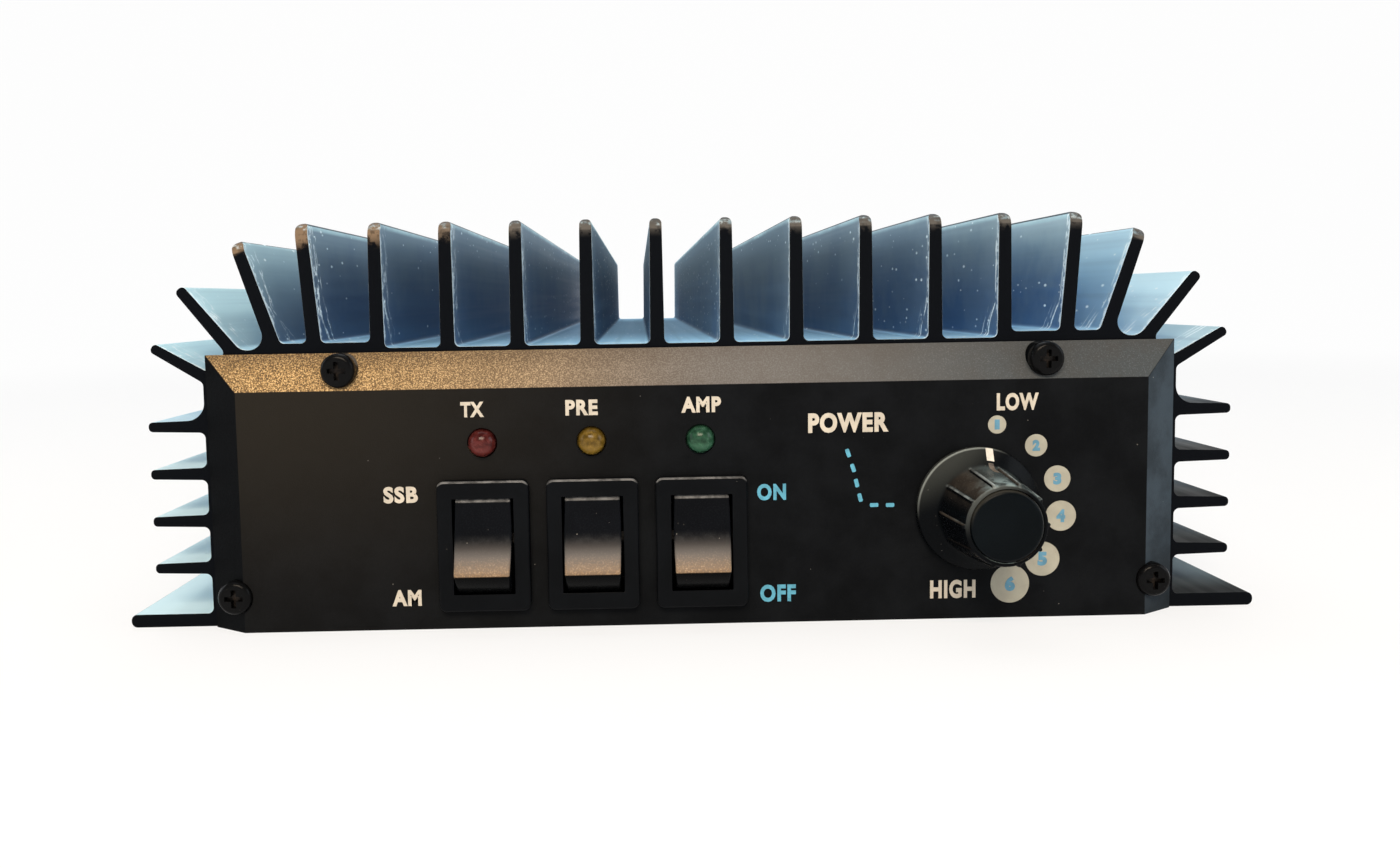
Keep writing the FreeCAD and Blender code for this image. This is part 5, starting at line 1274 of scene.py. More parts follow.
class Palette:
    """Every finish of the amplifier, each made into a material once."""

    finishes: dict[str, Finish] = {f.name: f for f in (
        AnodisedFins("anodised", (0.05, 0.08, 0.12), roughness=0.36, metallic=0.5, specular=0.01,
                     sheen_tint=(0.42, 0.52, 0.62)),
        PowderCoat("powder_coat", (0.0045, 0.0052, 0.0062), roughness=0.52, clouding=0.3,
                   specular=0.035, grain_size=0.23 * MM, grain_depth=0.02 * MM),
        HeadPaint("black_screw", (0.0030, 0.0031, 0.0034), roughness=0.22, dust=0.40, specular=0.07,
                  dust_colour=(0.13, 0.10, 0.08)),
        Finish("gloss_black", (0.0032, 0.0036, 0.0042), roughness=0.20, dust=0.20, specular=0.12,
               grain_depth=0.0015 * MM, dust_colour=(0.20, 0.19, 0.16)),
        KnobPlastic("knob_black", (0.0026, 0.0032, 0.0040), roughness=0.25, dust=0.30,
                    specular=0.028, grain_depth=0.0015 * MM, dust_colour=(0.22, 0.21, 0.18)),
        RockerPlastic("paddle_black", (0.0034, 0.0040, 0.0054), roughness=0.26, dust=0.35,
                      specular=0.04, grain_size=0.26 * MM, grain_depth=0.004 * MM,
                      dust_colour=(0.30, 0.28, 0.25)),
        EdgedPlastic("satin_black", (0.0030, 0.0036, 0.0046), roughness=0.32, dust=0.06,
                     specular=0.05, grain_size=0.3 * MM, grain_depth=0.006 * MM),
        CapPlastic("cap_black", (0.0022, 0.0036, 0.0048), roughness=0.26, dust=0.02, specular=0.045,
                   grain_size=0.12 * MM, grain_depth=0.003 * MM),
        Finish("cream_ink", (0.52, 0.475, 0.40), roughness=0.6, clouding=0.10, cloud_size=2 * MM,
               dust_colour=(0.30, 0.28, 0.25), dust=0.05, specular=0.2),
        Finish("number_ink", (0.105, 0.260, 0.375), roughness=0.6, clouding=0.16,
               cloud_size=1.5 * MM, specular=0.2),
        Finish("scale_ink", (0.355, 0.345, 0.285), roughness=0.6, clouding=0.08, cloud_size=3 * MM,
               dust_colour=(0.27, 0.24, 0.20), dust=0.10, specular=0.2),
        Finish("cyan_ink", (0.095, 0.33, 0.46), roughness=0.6, clouding=0.16, cloud_size=1.5 * MM,
               specular=0.2),
        Finish("white_line", (0.66, 0.62, 0.55), roughness=0.5, clouding=0.08, cloud_size=1 * MM,
               dust=0.10, dust_colour=(0.25, 0.22, 0.18)),
        Finish("grey_line", (0.13, 0.105, 0.085), roughness=0.4, clouding=0.45,
               cloud_size=0.7 * MM),
        Finish("white_dielectric", (0.72, 0.71, 0.67), roughness=0.45, clouding=0.06),
        *(TintedLens(name, colour, roughness=0.22, coat=0.05, specular=0.15, grain_depth=0.012 * MM,
                     grain_size=0.5 * MM)
          for name, colour in (("red_resin", (0.056, 0.0050, 0.0036)),
                               ("amber_resin", (0.100, 0.058, 0.0036)),
                               ("green_resin", (0.012, 0.054, 0.028)))),
        DrawnMetal("nickel", (0.62, 0.60, 0.56), roughness=0.24, metallic=1.0, clouding=0.08,
                   stretch=(400.0, 400.0, 400.0)),
        DrawnMetal("zinc_steel", (0.52, 0.52, 0.53), roughness=0.32, metallic=1.0, clouding=0.12,
                   stretch=(500.0, 500.0, 500.0)),
        DrawnMetal("tinned", (0.66, 0.61, 0.47), roughness=0.30, metallic=1.0, clouding=0.15),
        DrawnMetal("copper_wire", (0.50, 0.22, 0.09), roughness=0.28, metallic=0.9, clouding=0.15,
                   coat=0.4),
        Finish("rubber", (0.010, 0.010, 0.011), roughness=0.70, clouding=0.25, dust=0.12,
               specular=0.3),
        Finish("ferrite", (0.045, 0.045, 0.050), roughness=0.6, clouding=0.25, cloud_size=3 * MM,
               grain_depth=0.02 * MM, specular=0.3),
        Finish("laminate", (0.015, 0.10, 0.045), roughness=0.35, clouding=0.3, cloud_size=5 * MM,
               coat=0.3),
        Finish("component_black", (0.014, 0.014, 0.016), roughness=0.42, clouding=0.2,
               specular=0.3),
        TintedLens("fuse_glass", (0.86, 0.90, 0.88), roughness=0.05, clear=0.9, shaded=False),
    )}
    made: dict[str, bpy.types.Material] = {}

    @classmethod
    def get(cls, name: str) -> bpy.types.Material:
        """Find the material of a finish.

        Args:
            name: Name of the finish.

        Returns:
            Its material, made at the first call.
        """
        if name not in cls.made:
            cls.made[name] = cls.finishes[name].paint()
        return cls.made[name]


# ---------------------------------------------------------------- the frame's nodes
@dataclass
class Frame:
    """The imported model: its nodes, and how pieces join it."""

    nodes: dict[str, bpy.types.Object]
    joints: dict[str, dict]
    pieces: int = 0

    @classmethod
    def load(cls) -> Frame:
        """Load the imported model."""
        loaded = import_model()
        return cls(loaded["nodes"], {joint["name"]: joint for joint in loaded["joints"]})

    def box(self, node: str) -> tuple[Vector, Vector]:
        """Lowest and highest corner of a node."""
        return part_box(node)

    def dress(self, finish: str, *names: str) -> None:
        """Give CAD nodes that stay their material.

        Args:
            finish: Name of the finish.
            names: Names of the nodes.
        """
        for name in names:
            mesh = self.nodes[name].data
            mesh.materials.clear()
            mesh.materials.append(Palette.get(finish))
            LOG.info("dressed %s in %s", name, finish)

    def join(self, piece: bpy.types.Object, finish: str, body: Body, slot: Slot | None = None,
             stands_for: Sequence[str] = ()) -> None:
        """Give a new piece its material and body, and hide the nodes that it stands for.

        Args:
            piece: The new piece.
            finish: Name of its finish.
            body: The body that it rides on.
            slot: Material slot of the record, if it has one there; not used.
            stands_for: CAD nodes that it replaces.
        """
        piece.data.materials.clear()
        piece.data.materials.append(Palette.get(finish))
        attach(piece, body.value)
        if stands_for:
            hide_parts(*stands_for)
        self.pieces += 1
        LOG.info("piece %s rides on %s", piece.name, body.value)

    def soften(self, node: str, width: float, finish: str, slot: Slot | None = None,
               body: Body = Body.ROOT) -> None:
        """Put a merged copy of a CAD solid, with live rounded edges, in its place.

        Args:
            node: The node that is copied and replaced.
            width: Width of the rounding.
            finish: Name of its finish.
            slot: Material slot of the record, if it has one there.
            body: The body that it rides on.
        """
        mesh = self.nodes[node].data.copy()
        made = finished_object(node + "_finished", mesh, COPY_MERGE_GAP, 180.0, flatten=True)
        bevel = made.modifiers.new("rounded_edges", "BEVEL")
        bevel.width = width
        bevel.segments = ROUNDING_STEPS
        bevel.limit_method = "ANGLE"
        bevel.angle_limit = ROUNDED_ANGLE
        shading = made.modifiers.new("face_shading", "WEIGHTED_NORMAL")
        shading.weight = FACE_WEIGHT
        shading.keep_sharp = True
        self.join(made, finish, body, slot, [node])


# ---------------------------------------------------------------- sub-assemblies
@dataclass
class Casing:
    """Finned housing, end trays and bottom plate, with their screws."""

    frame: Frame
    fin_edge: float = 0.34 * MM
    tray_edge: float = 0.16 * MM
    plate_edge: float = 0.15 * MM
    screw_edge: float = 0.07 * MM

    def build(self) -> None:
        """Dress the casing."""
        rounded = (("heatsink_housing", self.fin_edge, "anodised", Slot.ALUMINIUM),
                   ("front_panel", self.tray_edge, "powder_coat", Slot.PAINT),
                   ("rear_panel", self.tray_edge, "powder_coat", Slot.PAINT),
                   ("bottom_plate", self.plate_edge, "powder_coat", Slot.PAINT),
                   ("front_panel_screws", self.screw_edge, "black_screw", Slot.BLACK_STEEL),
                   ("rear_panel_screws", self.screw_edge, "black_screw", Slot.BLACK_STEEL),
                   ("bottom_plate_screws", self.screw_edge, "black_screw", Slot.BLACK_STEEL))
        for node, width, finish, slot in rounded:
            self.frame.soften(node, width, finish, slot)


@dataclass
class PowerKnob:
    """Skirted and ribbed knob with its front cap and its white pointer."""

    frame: Frame
    rib_half: float = 0.34 * MM
    rib_rise: float = 0.40 * MM
    pointer_angle: float = math.radians(8.5)
    skirt_edge: float = 0.9 * MM
    skirt_rise: float = 2.5 * MM
    foot_radius: float = 7.25 * MM
    front_radius: float = 6.3 * MM
    cap_radius: float = 5.6 * MM
    cap_sink: float = 1.2 * MM
    cap_soft: float = 1.0 * MM
    play: float = 0.08 * MM
    longest_run: float = 0.4 * MM
    columns_per_rib: int = 30
    rib_crowding: float = 2.2         # how much closer the columns stand at a rib
    cap_columns: int = 96
    # reach of each rounded corner, from the recess over the front to the back
    corner_reach: tuple[float, ...] = (0.0, 0.08 * MM, 0.08 * MM, 0.5 * MM, 0.9 * MM, 0.35 * MM,
                                       0.1 * MM, 0.0)
    pointer_half: float = 0.6 * MM
    mark_inner: float = 8.0 * MM
    tail_inner: float = 7.0 * MM
    ink_lift: float = 0.03 * MM

    def __post_init__(self) -> None:
        """Read the knob's place and size from the frame."""
        low, high = self.frame.box("knob_body")
        self.centre = ((low.x + high.x) / 2, (low.z + high.z) / 2)
        self.skirt_radius = (high.x - low.x) / 2
        self.base_y = high.y
        self.front_y = low.y
        self.cap_front_y = self.frame.box("knob_cap")[0].y

    def skirt_profile(self) -> list[Pair]:
        """Corners (radius, y) of the skirt's cone, from its foot on the body to its edge."""
        edge_y = self.base_y - self.skirt_edge
        return [(self.foot_radius, edge_y - self.skirt_rise), (self.skirt_radius, edge_y)]

    def rib_angles(self) -> np.ndarray:
        """Column angles, closest together at the ribs: sign(s) |s|^crowding of half a pitch.

        Returns:
            The angles in radians, round the whole knob.
        """
        half_pitch = math.pi / KNOB_RIBS
        s = np.linspace(-1.0, 1.0, self.columns_per_rib, endpoint=False)
        one = np.sign(s) * np.abs(s) ** self.rib_crowding * half_pitch
        centres = FIRST_RIB + even_angles(KNOB_RIBS)
        return (centres[:, None] + one[None, :]).ravel()

    def rib_swell(self, angle: np.ndarray, depth: np.ndarray) -> np.ndarray:
        """Extra radius of the ribs.

        A rib is rise * sqrt(1 - (d / half)^2) across, where d is the distance along the arc from
        its middle line, and it fades out just behind the front and at the skirt.

        Args:
            angle: Angle of each column.
            depth: Depth y of each point.

        Returns:
            The extra radius at each point.
        """
        pitch = 2 * math.pi / KNOB_RIBS
        offset = (angle - FIRST_RIB + pitch / 2) % pitch - pitch / 2
        across = np.sqrt(np.clip(1.0 - (offset * self.front_radius / self.rib_half) ** 2, 0.0, 1.0))
        foot_y = self.skirt_profile()[0][1]
        along = (smooth_step(depth, self.front_y + 0.1 * MM, self.front_y + 0.5 * MM)
                 * (1.0 - smooth_step(depth, foot_y - 0.7 * MM, foot_y + 0.1 * MM)))
        return self.rib_rise * across * along

    def build(self) -> None:
        """Build the body, its cap and its pointer."""
        foot, edge = self.skirt_profile()
        recess = self.front_y + self.cap_sink
        corners = [(0.0, recess), (self.cap_radius + self.play, recess),
                   (self.cap_radius + self.play, self.front_y), (self.front_radius, self.front_y),
                   foot, edge, (self.skirt_radius, self.base_y), (0.0, self.base_y)]
        path = self.denser(softened_path(corners, self.corner_reach, steps=8), self.longest_run)
        shell = Shell("knob_ribbed_body")
        shell.grid(turned_surface(path, self.centre, self.rib_angles(), self.rib_swell),
                   around=True)
        self.frame.join(shell.build(crease=50.0), "knob_black", Body.KNOB, Slot.GLOSS_PLASTIC,
                        ["knob_body"])

        cap = softened_path([(0.0, self.cap_front_y), (self.cap_radius, self.cap_front_y),
                             (self.cap_radius, recess), (0.0, recess)],
                            [0, self.cap_soft, 0.05 * MM, 0], steps=10)
        angles = even_angles(self.cap_columns)
        shell = Shell("knob_front_cap").grid(turned_surface(cap, self.centre, angles), around=True)
        self.frame.join(shell.build(), "cap_black", Body.KNOB, Slot.SATIN_PLASTIC, ["knob_cap"])
        self.printed_line("knob_pointer_mark", "white_line", path, self.skirt_radius - 0.1 * MM,
                          self.mark_inner, self.pointer_half, ["knob_pointer"])
        self.printed_line("knob_pointer_tail", "grey_line", path, self.mark_inner, self.tail_inner,
                          self.pointer_half * 0.7, [])

    @staticmethod
    def denser(path: np.ndarray, step: float) -> np.ndarray:
        """Divide the long runs of a line into runs of about one step.

        Args:
            path: Points of the line, one row each.
            step: Length of a run.

        Returns:
            The divided line.
        """
        made = []
        for start, end in zip(path[:-1], path[1:]):
            count = max(1, int(np.linalg.norm(end - start) / step))
            t = np.arange(count)[:, None] / count
            made.append(start + (end - start) * t)
        return np.concatenate(made + [path[-1:]])

    def printed_line(self, name: str, finish: str, path: np.ndarray, outer: float, inner: float,
                     half: float, stands_for: Sequence[str]) -> None:
        """Ink along the knob's side, from one radius in to another.

        Row i is a point of the side's profile moved out by the ink's lift, and column j lies the
        same distance to one side of the pointer's line at every row, so that its sides are
        straight: a = pointer angle + side / r.

        Args:
            name: Name of the piece.
            finish: Its finish.
            path: Profile (radius, y) of the knob, front first.
            outer: Radius where the ink starts.
            inner: Radius where it ends.
            half: Half its width.
            stands_for: CAD nodes that it replaces.
        """
        side = path[(path[:, 0] <= outer) & (path[:, 0] >= inner)
                    & (path[:, 1] < self.base_y - 0.5 * MM)
                    & (path[:, 1] > self.front_y + 0.6 * MM)]
        run = np.concatenate([[0.0], np.cumsum(np.linalg.norm(np.diff(side, axis=0), axis=1))])
        even = np.linspace(0.0, run[-1], 24)
        line = np.stack([np.interp(even, run, side[:, k]) for k in (0, 1)], axis=-1)
        step = np.gradient(line, axis=0)
        out = np.stack([-step[:, 1], step[:, 0]], axis=-1)
        out /= np.linalg.norm(out, axis=1)[:, None]
        out *= np.where(out[:, 1] > 0, -1.0, 1.0)[:, None]
        across = np.linspace(-half, half, 9)
        layers = []
        for lift in (self.ink_lift, -self.ink_lift):
            moved = line + out * lift
            radius = moved[:, :1]
            angle = self.pointer_angle + across[None, :] / radius
            layers.append(np.stack([self.centre[0] + radius * np.sin(angle),
                                    np.repeat(moved[:, 1:], len(across), axis=1),
                                    self.centre[1] + radius * np.cos(angle)], axis=-1))
        self.frame.join(closed_sheet(name, layers[0], layers[1]).build(), finish, Body.KNOB,
                        Slot.WHITE_PLASTIC, stands_for)


def closed_sheet(name: str, front: np.ndarray, back: np.ndarray) -> Shell:
    """Thin closed piece between two grids of the same size.

    Args:
        name: Name of the piece.
        front: Points of its front, rows by columns by 3.
        back: Points of its back.

    Returns:
        The shell with both grids and the band round their edges.
    """
    def edge(grid: np.ndarray) -> np.ndarray:
        """Points round the grid's border, each once."""
        return np.concatenate([grid[0, :-1], grid[:-1, -1], grid[-1, :0:-1], grid[:0:-1, 0]])

    shell = Shell(name).grid(front).grid(back)
    return shell.grid(np.stack([edge(front), edge(back)]), around=True)


@dataclass
class Rockers:
    """Three rocker switches: bezels and concave paddles."""

    frame: Frame
    radius: float = 9.0 * MM
    spread: float = 41.5
    skirt: float = 32.0
    dish: float = 0.9 * MM
    tilt: float = -15.0
    half_width: float = 4.65 * MM
    bow: float = 0.32 * MM
    edge: float = 0.40 * MM
    corner: float = 0.55 * MM
    pin_radius: float = 1.25 * MM
    pin_half: float = 5.65 * MM
    pin_columns: int = 24
    bezel_edge: float = 0.12 * MM

    def outline(self) -> np.ndarray:
        """Side view (y, z) of a paddle about its pivot: skirts, concave face and flat back.

        Returns:
            Points of the closed line, one row each.
        """
        def polar(angle: float) -> np.ndarray:
            """Point on the paddle's circle, its angle in degrees from the front upwards."""
            return self.radius * np.array([-math.cos(math.radians(angle)),
                                           math.sin(math.radians(angle))])

        low, top = polar(-self.spread), polar(self.spread)
        half = top[1]
        middle_y = low[0] + self.dish
        face_radius = (half ** 2 + self.dish ** 2) / (2 * self.dish)
        centre_y = middle_y - face_radius
        z = np.linspace(-half, half, 40)
        face = np.stack([centre_y + np.sqrt(face_radius ** 2 - z ** 2), z], axis=-1)
        swing = np.radians(np.linspace(self.spread, self.spread + self.skirt, 12))
        top_skirt = self.radius * np.stack([-np.cos(swing), np.sin(swing)], axis=-1)
        low_skirt = top_skirt[::-1] * [1, -1]
        corners = np.concatenate([low_skirt[:-1], face, top_skirt[1:]])
        return self.round_ends(corners, len(low_skirt) - 1, len(low_skirt) - 1 + len(face) - 1)

    def round_ends(self, line: np.ndarray, *at: int) -> np.ndarray:
        """Round the line's corners at these points, each over one corner radius of its length.

        Args:
            line: Points, one row each.
            at: Numbers of the corner points.

        Returns:
            The rounded line.
        """
        run = np.concatenate([[0.0], np.cumsum(np.linalg.norm(np.diff(line, axis=0), axis=1))])
        keep = np.ones(len(line), bool)
        arcs = {}
        t = np.linspace(0.0, 1.0, 7)[:, None]
        for i in at:
            near = np.abs(run - run[i]) < self.corner
            keep &= ~near
            ends = [np.array([np.interp(run[i] + s * self.corner, run, line[:, k]) for k in (0, 1)])
                    for s in (-1, 1)]
            arcs[i] = (1 - t) ** 2 * ends[0] + 2 * t * (1 - t) * line[i] + t ** 2 * ends[1]
        made = [arcs[i] if i in arcs else line[i:i + 1] for i in range(len(line))
                if i in arcs or keep[i]]
        return np.concatenate(made)

    def paddle(self, name: str, pivot: Triple) -> bpy.types.Object:
        """Build one paddle.

        Column u runs across. Near each side the outline moves inwards by e (1 - sin a) while x
        moves out by e (1 - cos a), which rounds the edge, and the side itself bows by
        bow * (z / radius)^2.

        Args:
            name: Name of the piece.
            pivot: Point on the line that it tilts about.

        Returns:
            The paddle with its two pins.
        """
        line = self.outline()
        step = np.gradient(line, axis=0)
        out = np.stack([-step[:, 1], step[:, 0]], axis=-1)
        out /= np.linalg.norm(out, axis=1)[:, None]
        if out[len(out) // 2, 0] > 0:
            out = -out
        turn = np.radians(np.linspace(0.0, 90.0, 7))
        inset = self.edge * (1 - np.sin(turn))
        reach = self.half_width - self.edge * (1 - np.cos(turn))
        reach = np.concatenate([-reach, reach[::-1]])
        inset = np.concatenate([inset, inset[::-1]])
        bowed = self.bow * (line[:, 1] / self.radius) ** 2
        x = reach[None, :] * (1 - bowed[:, None] / self.half_width)
        moved = line[:, None, :] - out[:, None, :] * inset[None, :, None]
        angle = math.radians(self.tilt)
        y = moved[..., 0] * math.cos(angle) - moved[..., 1] * math.sin(angle)
        z = moved[..., 0] * math.sin(angle) + moved[..., 1] * math.cos(angle)
        surface = np.stack([x + pivot[0], y + pivot[1], z + pivot[2]], axis=-1)
        shell = Shell(name).grid(surface, along=True)
        shell.cap(surface[:, 0]).cap(surface[:, -1])
        around = even_angles(self.pin_columns)
        pin = self.pin_radius * np.stack([np.cos(around), np.sin(around)], axis=-1)
        ring = [np.insert(pin, 0, side * self.pin_half, axis=1) + pivot for side in (-1, 1)]
        shell.grid(np.stack(ring), around=True).cap(ring[0]).cap(ring[1])
        return shell.build(crease=40.0)

    def build(self) -> None:
        """Build the paddles and finish the bezels."""
        for letter in SWITCH_LETTERS:
            body = Body("rocker_" + letter)
            pivot = tuple(self.frame.joints[body.value + "_tilt"]["pos_m"])
            node = "rocker_paddle_" + letter
            self.frame.join(self.paddle(node + "_surface", pivot), "paddle_black", body,
                            Slot.GLOSS_PLASTIC, [node])
            bezel = "rocker_frame_" + letter
            self.frame.soften(bezel, self.bezel_edge, "satin_black", Slot.SATIN_PLASTIC)


@dataclass
class Indicators:
    """Three 5 mm indicator lights with the cup and post seen inside the resin."""

    frame: Frame
    columns: int = 64
    inner_columns: tuple[int, int] = (24, 16)    # of the cup and the post
    dome_radius: float = 2.4 * MM
    rim_thick: float = 1.0 * MM
    rim_radius: float = 2.8 * MM
    cup_radius: float = 0.75 * MM
    cup_floor: float = 0.15 * MM
    cup_dip: float = 0.45 * MM
    cup_depth: float = 2.2 * MM
    stem: float = 3.0 * MM
    post_radius: float = 0.28 * MM
    post_rise: float = 0.1 * MM
    post_aside: float = 1.35 * MM

    def build(self) -> None:
        """Build each light."""
        for colour, slot in (("red", Slot.RED), ("amber", Slot.AMBER), ("green", Slot.GREEN)):
            node = "led_" + colour
            low, high = self.frame.box(node)
            centre = ((low.x + high.x) / 2, (low.z + high.z) / 2)
            swing = np.radians(np.linspace(0.0, 90.0, 16))
            dome_y = low.y + self.dome_radius
            dome = np.stack([self.dome_radius * np.sin(swing),
                             dome_y - self.dome_radius * np.cos(swing)], axis=-1)
            rest = np.array([(self.dome_radius, high.y - self.rim_thick),
                             (self.rim_radius, high.y - self.rim_thick),
                             (self.rim_radius, high.y), (0.0, high.y)])
            surface = turned_surface(np.concatenate([dome, rest]), centre,
                                     even_angles(self.columns))
            lens = Shell(node + "_lens").grid(surface, around=True)
            self.frame.join(lens.build(), colour + "_resin", Body.ROOT, slot, [node])
            self.build_cup(node, centre, low.y + self.cup_depth)

    def build_cup(self, node: str, centre: Pair, y: float) -> None:
        """Reflector cup and bond post inside the resin.

        The cup is a cone that opens forwards; the post is a short rod beside it.

        Args:
            node: The light that they belong to.
            centre: Place (x, z) of its middle.
            y: Depth of the cup's rim.
        """
        cup = softened_path([(self.cup_floor, y + self.cup_dip), (self.cup_radius, y),
                             (self.cup_radius, y + self.stem), (0.0, y + self.stem)],
                            [0, 0.05 * MM, 0, 0])
        cup = np.concatenate([[(0.0, y + self.cup_dip)], cup])
        cup_angles, post_angles = map(even_angles, self.inner_columns)
        shell = Shell(node + "_cup").grid(turned_surface(cup, centre, cup_angles), around=True)
        tip = y - self.post_rise
        post = np.array([(0.0, tip), (self.post_radius, tip), (self.post_radius, y + self.stem),
                         (0.0, y + self.stem)])
        beside = (centre[0] + self.post_aside, centre[1])
        shell.grid(turned_surface(post, beside, post_angles), around=True)
        self.frame.join(shell.build(), "tinned", Body.ROOT, Slot.BRASS)


@dataclass(frozen=True)
class Word:
    """One printed word: its text, centre, height, width and ink."""

    text: str
    x: float
    z: float
    height: float
    width: float
    ink: str = "cream_ink"
    bold: float = 0.045


@dataclass
class Legends:
    """Words, scale dots and dashes printed on the front face."""

    frame: Frame
    lift: float = 0.03 * MM
    ring_radius: float = 14.08 * MM
    dot_angles: tuple[float, ...] = (13.6, 44.0, 71.2, 96.8, 128.8, 156.5)
    first_dot: float = 3.0 * MM
    dot_growth: float = 0.68 * MM
    first_number: float = 1.65 * MM
    number_growth: float = 0.17 * MM
    one_shape: Pair = (0.50, -0.02)       # width over height, and boldness, of the number 1
    digit_shape: Pair = (0.68, 0.07)      # the same for the other numbers
    letter_space: float = 1.14
    letter_thick: float = 0.02
    letter_steps: int = 4
    dot_columns: int = 64
    dash_half: Pair = (0.70 * MM, 0.33 * MM)
    words: tuple[Word, ...] = (
        Word("TX", -36.18, 36.31, 2.5, 3.8), Word("PRE", -18.40, 36.32, 2.55, 5.25),
        Word("AMP", 1.10, 36.46, 2.6, 6.5), Word("POWER", 25.16, 33.06, 3.3, 13.2, bold=0.05),
        Word("LOW", 52.98, 36.01, 2.9, 6.9), Word("HIGH", 42.42, 4.97, 3.1, 7.55),
        Word("SSB", -48.24, 22.49, 2.75, 5.6), Word("AM", -47.76, 5.33, 2.7, 4.8),
        Word("ON", 12.48, 21.81, 2.75, 4.75, "cyan_ink"),
        Word("OFF", 13.41, 4.90, 2.9, 5.9, "cyan_ink"))
    dashes: tuple[Triple, ...] = (
        (25.09, 28.03, -72.0), (25.91, 25.53, -72.0), (26.48, 23.03, -76.0), (27.05, 20.60, -76.0),
        (29.36, 19.32, 0.0), (32.00, 19.27, 0.0))

    def __post_init__(self) -> None:
        """Read the plane of the front face from the frame."""
        self.face_y = self.frame.box("front_panel")[0].y
        low, high = self.frame.box("knob_body")
        self.knob = ((low.x + high.x) / 2, (low.z + high.z) / 2)

    def printed(self, name: str, text: str, centre: Pair, height: float, width: float, ink: str,
                bold: float, lift: float) -> None:
        """Print one word.

        Args:
            name: Name of the piece.
            text: The word.
            centre: Place (x, z) of its middle.
            height: Height of its letters.
            width: Width of the word.
            ink: Finish of the ink.
            bold: How far the strokes are widened, as a share of the letter size.
            lift: How far the ink stands off the face.
        """
        curve = bpy.data.curves.new(name + "_text", "FONT")
        curve.body = text
        curve.offset = bold
        curve.space_character = self.letter_space
        curve.extrude = self.letter_thick
        curve.resolution_u = self.letter_steps
        holder = bpy.data.objects.new(name + "_text", curve)
        bpy.context.scene.collection.objects.link(holder)
        bpy.context.view_layer.update()
        mesh = bpy.data.meshes.new_from_object(holder)
        bpy.data.objects.remove(holder)
        points = np.empty(len(mesh.vertices) * 3)
        mesh.vertices.foreach_get("co", points)
        points = points.reshape(-1, 3)
        low, high = points.min(0), points.max(0)
        share = (points - low) / (high - low) - [0.5, 0.5, 0.0]
        placed = np.stack([centre[0] + share[:, 0] * width, self.face_y - share[:, 2] * lift,
                           centre[1] + share[:, 1] * height], axis=-1)
        mesh.vertices.foreach_set("co", placed.ravel())
        mesh.name = name
        piece = finished_object(name, mesh, MERGE_GAP, 30.0)
        self.frame.join(piece, ink, Body.ROOT, Slot.WHITE_PLASTIC)

    def build(self) -> None:
        """Print the words, the scale and the dashes."""
        for word in self.words:
            self.printed("legend_" + word.text.lower(), word.text, (word.x * MM, word.z * MM),
                         word.height * MM, word.width * MM, word.ink, word.bold, self.lift)
        for i, turned in enumerate(self.dot_angles):
            angle = math.radians(turned)
            spot = (self.knob[0] + self.ring_radius * math.sin(angle),
                    self.knob[1] + self.ring_radius * math.cos(angle))
            size = self.first_dot + i * self.dot_growth
            disc = np.array([(0.0, self.face_y - self.lift), (size / 2, self.face_y - self.lift),
                             (size / 2, self.face_y), (0.0, self.face_y)])
            shell = Shell("scale_dot_%d" % (i + 1))
            shell.grid(turned_surface(disc, spot, even_angles(self.dot_columns)), around=True)
            self.frame.join(shell.build(), "scale_ink", Body.ROOT, Slot.WHITE_PLASTIC)
            tall = self.first_number + i * self.number_growth
            wide, bold = self.one_shape if i == 0 else self.digit_shape
            self.printed("scale_number_%d" % (i + 1), str(i + 1), spot, tall, tall * wide,
                         "number_ink", bold, 2 * self.lift)
        for i, (x, z, lean) in enumerate(self.dashes):
            self.dash("scale_dash_%d" % (i + 1), (x * MM, z * MM), math.radians(lean))

    def dash(self, name: str, centre: Pair, lean: float) -> None:
        """Print one dash: a rounded bar turned by its lean.

        Args:
            name: Name of the piece.
            centre: Place (x, z) of its middle.
            lean: Its angle in radians.
        """
        half, thick = self.dash_half
        ring = softened_path([(-half, -thick), (half, -thick), (half, thick), (-half, thick)],
                             [thick * 0.7] * 4, closed=True)
        x = centre[0] + ring[:, 0] * math.cos(lean) - ring[:, 1] * math.sin(lean)
        z = centre[1] + ring[:, 0] * math.sin(lean) + ring[:, 1] * math.cos(lean)
        rings = [np.stack([x, np.full(len(x), y), z], axis=-1)
                 for y in (self.face_y - self.lift, self.face_y)]
        shell = Shell(name).grid(np.stack(rings), around=True).cap(rings[0]).cap(rings[1])
        self.frame.join(shell.build(), "cyan_ink", Body.ROOT, Slot.WHITE_PLASTIC)


@dataclass
class RearFittings:
    """Sockets, fuse holders and power inlet on the rear panel."""

    frame: Frame
    edge: float = 0.15 * MM

    def build(self) -> None:
        """Finish the rear fittings."""
        for socket in ("input_socket_shell", "antenna_socket_shell"):
            self.frame.soften(socket, self.edge, "nickel", Slot.NICKEL)
        self.frame.soften("power_grommet", self.edge, "rubber")
        for letter in SWITCH_LETTERS:
            self.frame.soften("fuse_holder_" + letter, self.edge, "satin_black", Slot.SATIN_PLASTIC)
            self.frame.soften("fuse_cap_" + letter, self.edge, "gloss_black", Slot.GLOSS_PLASTIC,
                              Body("cap_" + letter))
        self.frame.dress("white_dielectric", "socket_dielectrics")
        self.frame.dress("tinned", "socket_contacts")
        self.frame.dress("zinc_steel", "socket_screws", "socket_nuts")
        self.frame.dress("satin_black", "fuse_holder_nuts")
        for letter in SWITCH_LETTERS:
            self.frame.dress("fuse_glass", "fuse_tube_" + letter)
            self.frame.dress("nickel", "fuse_ends_" + letter)


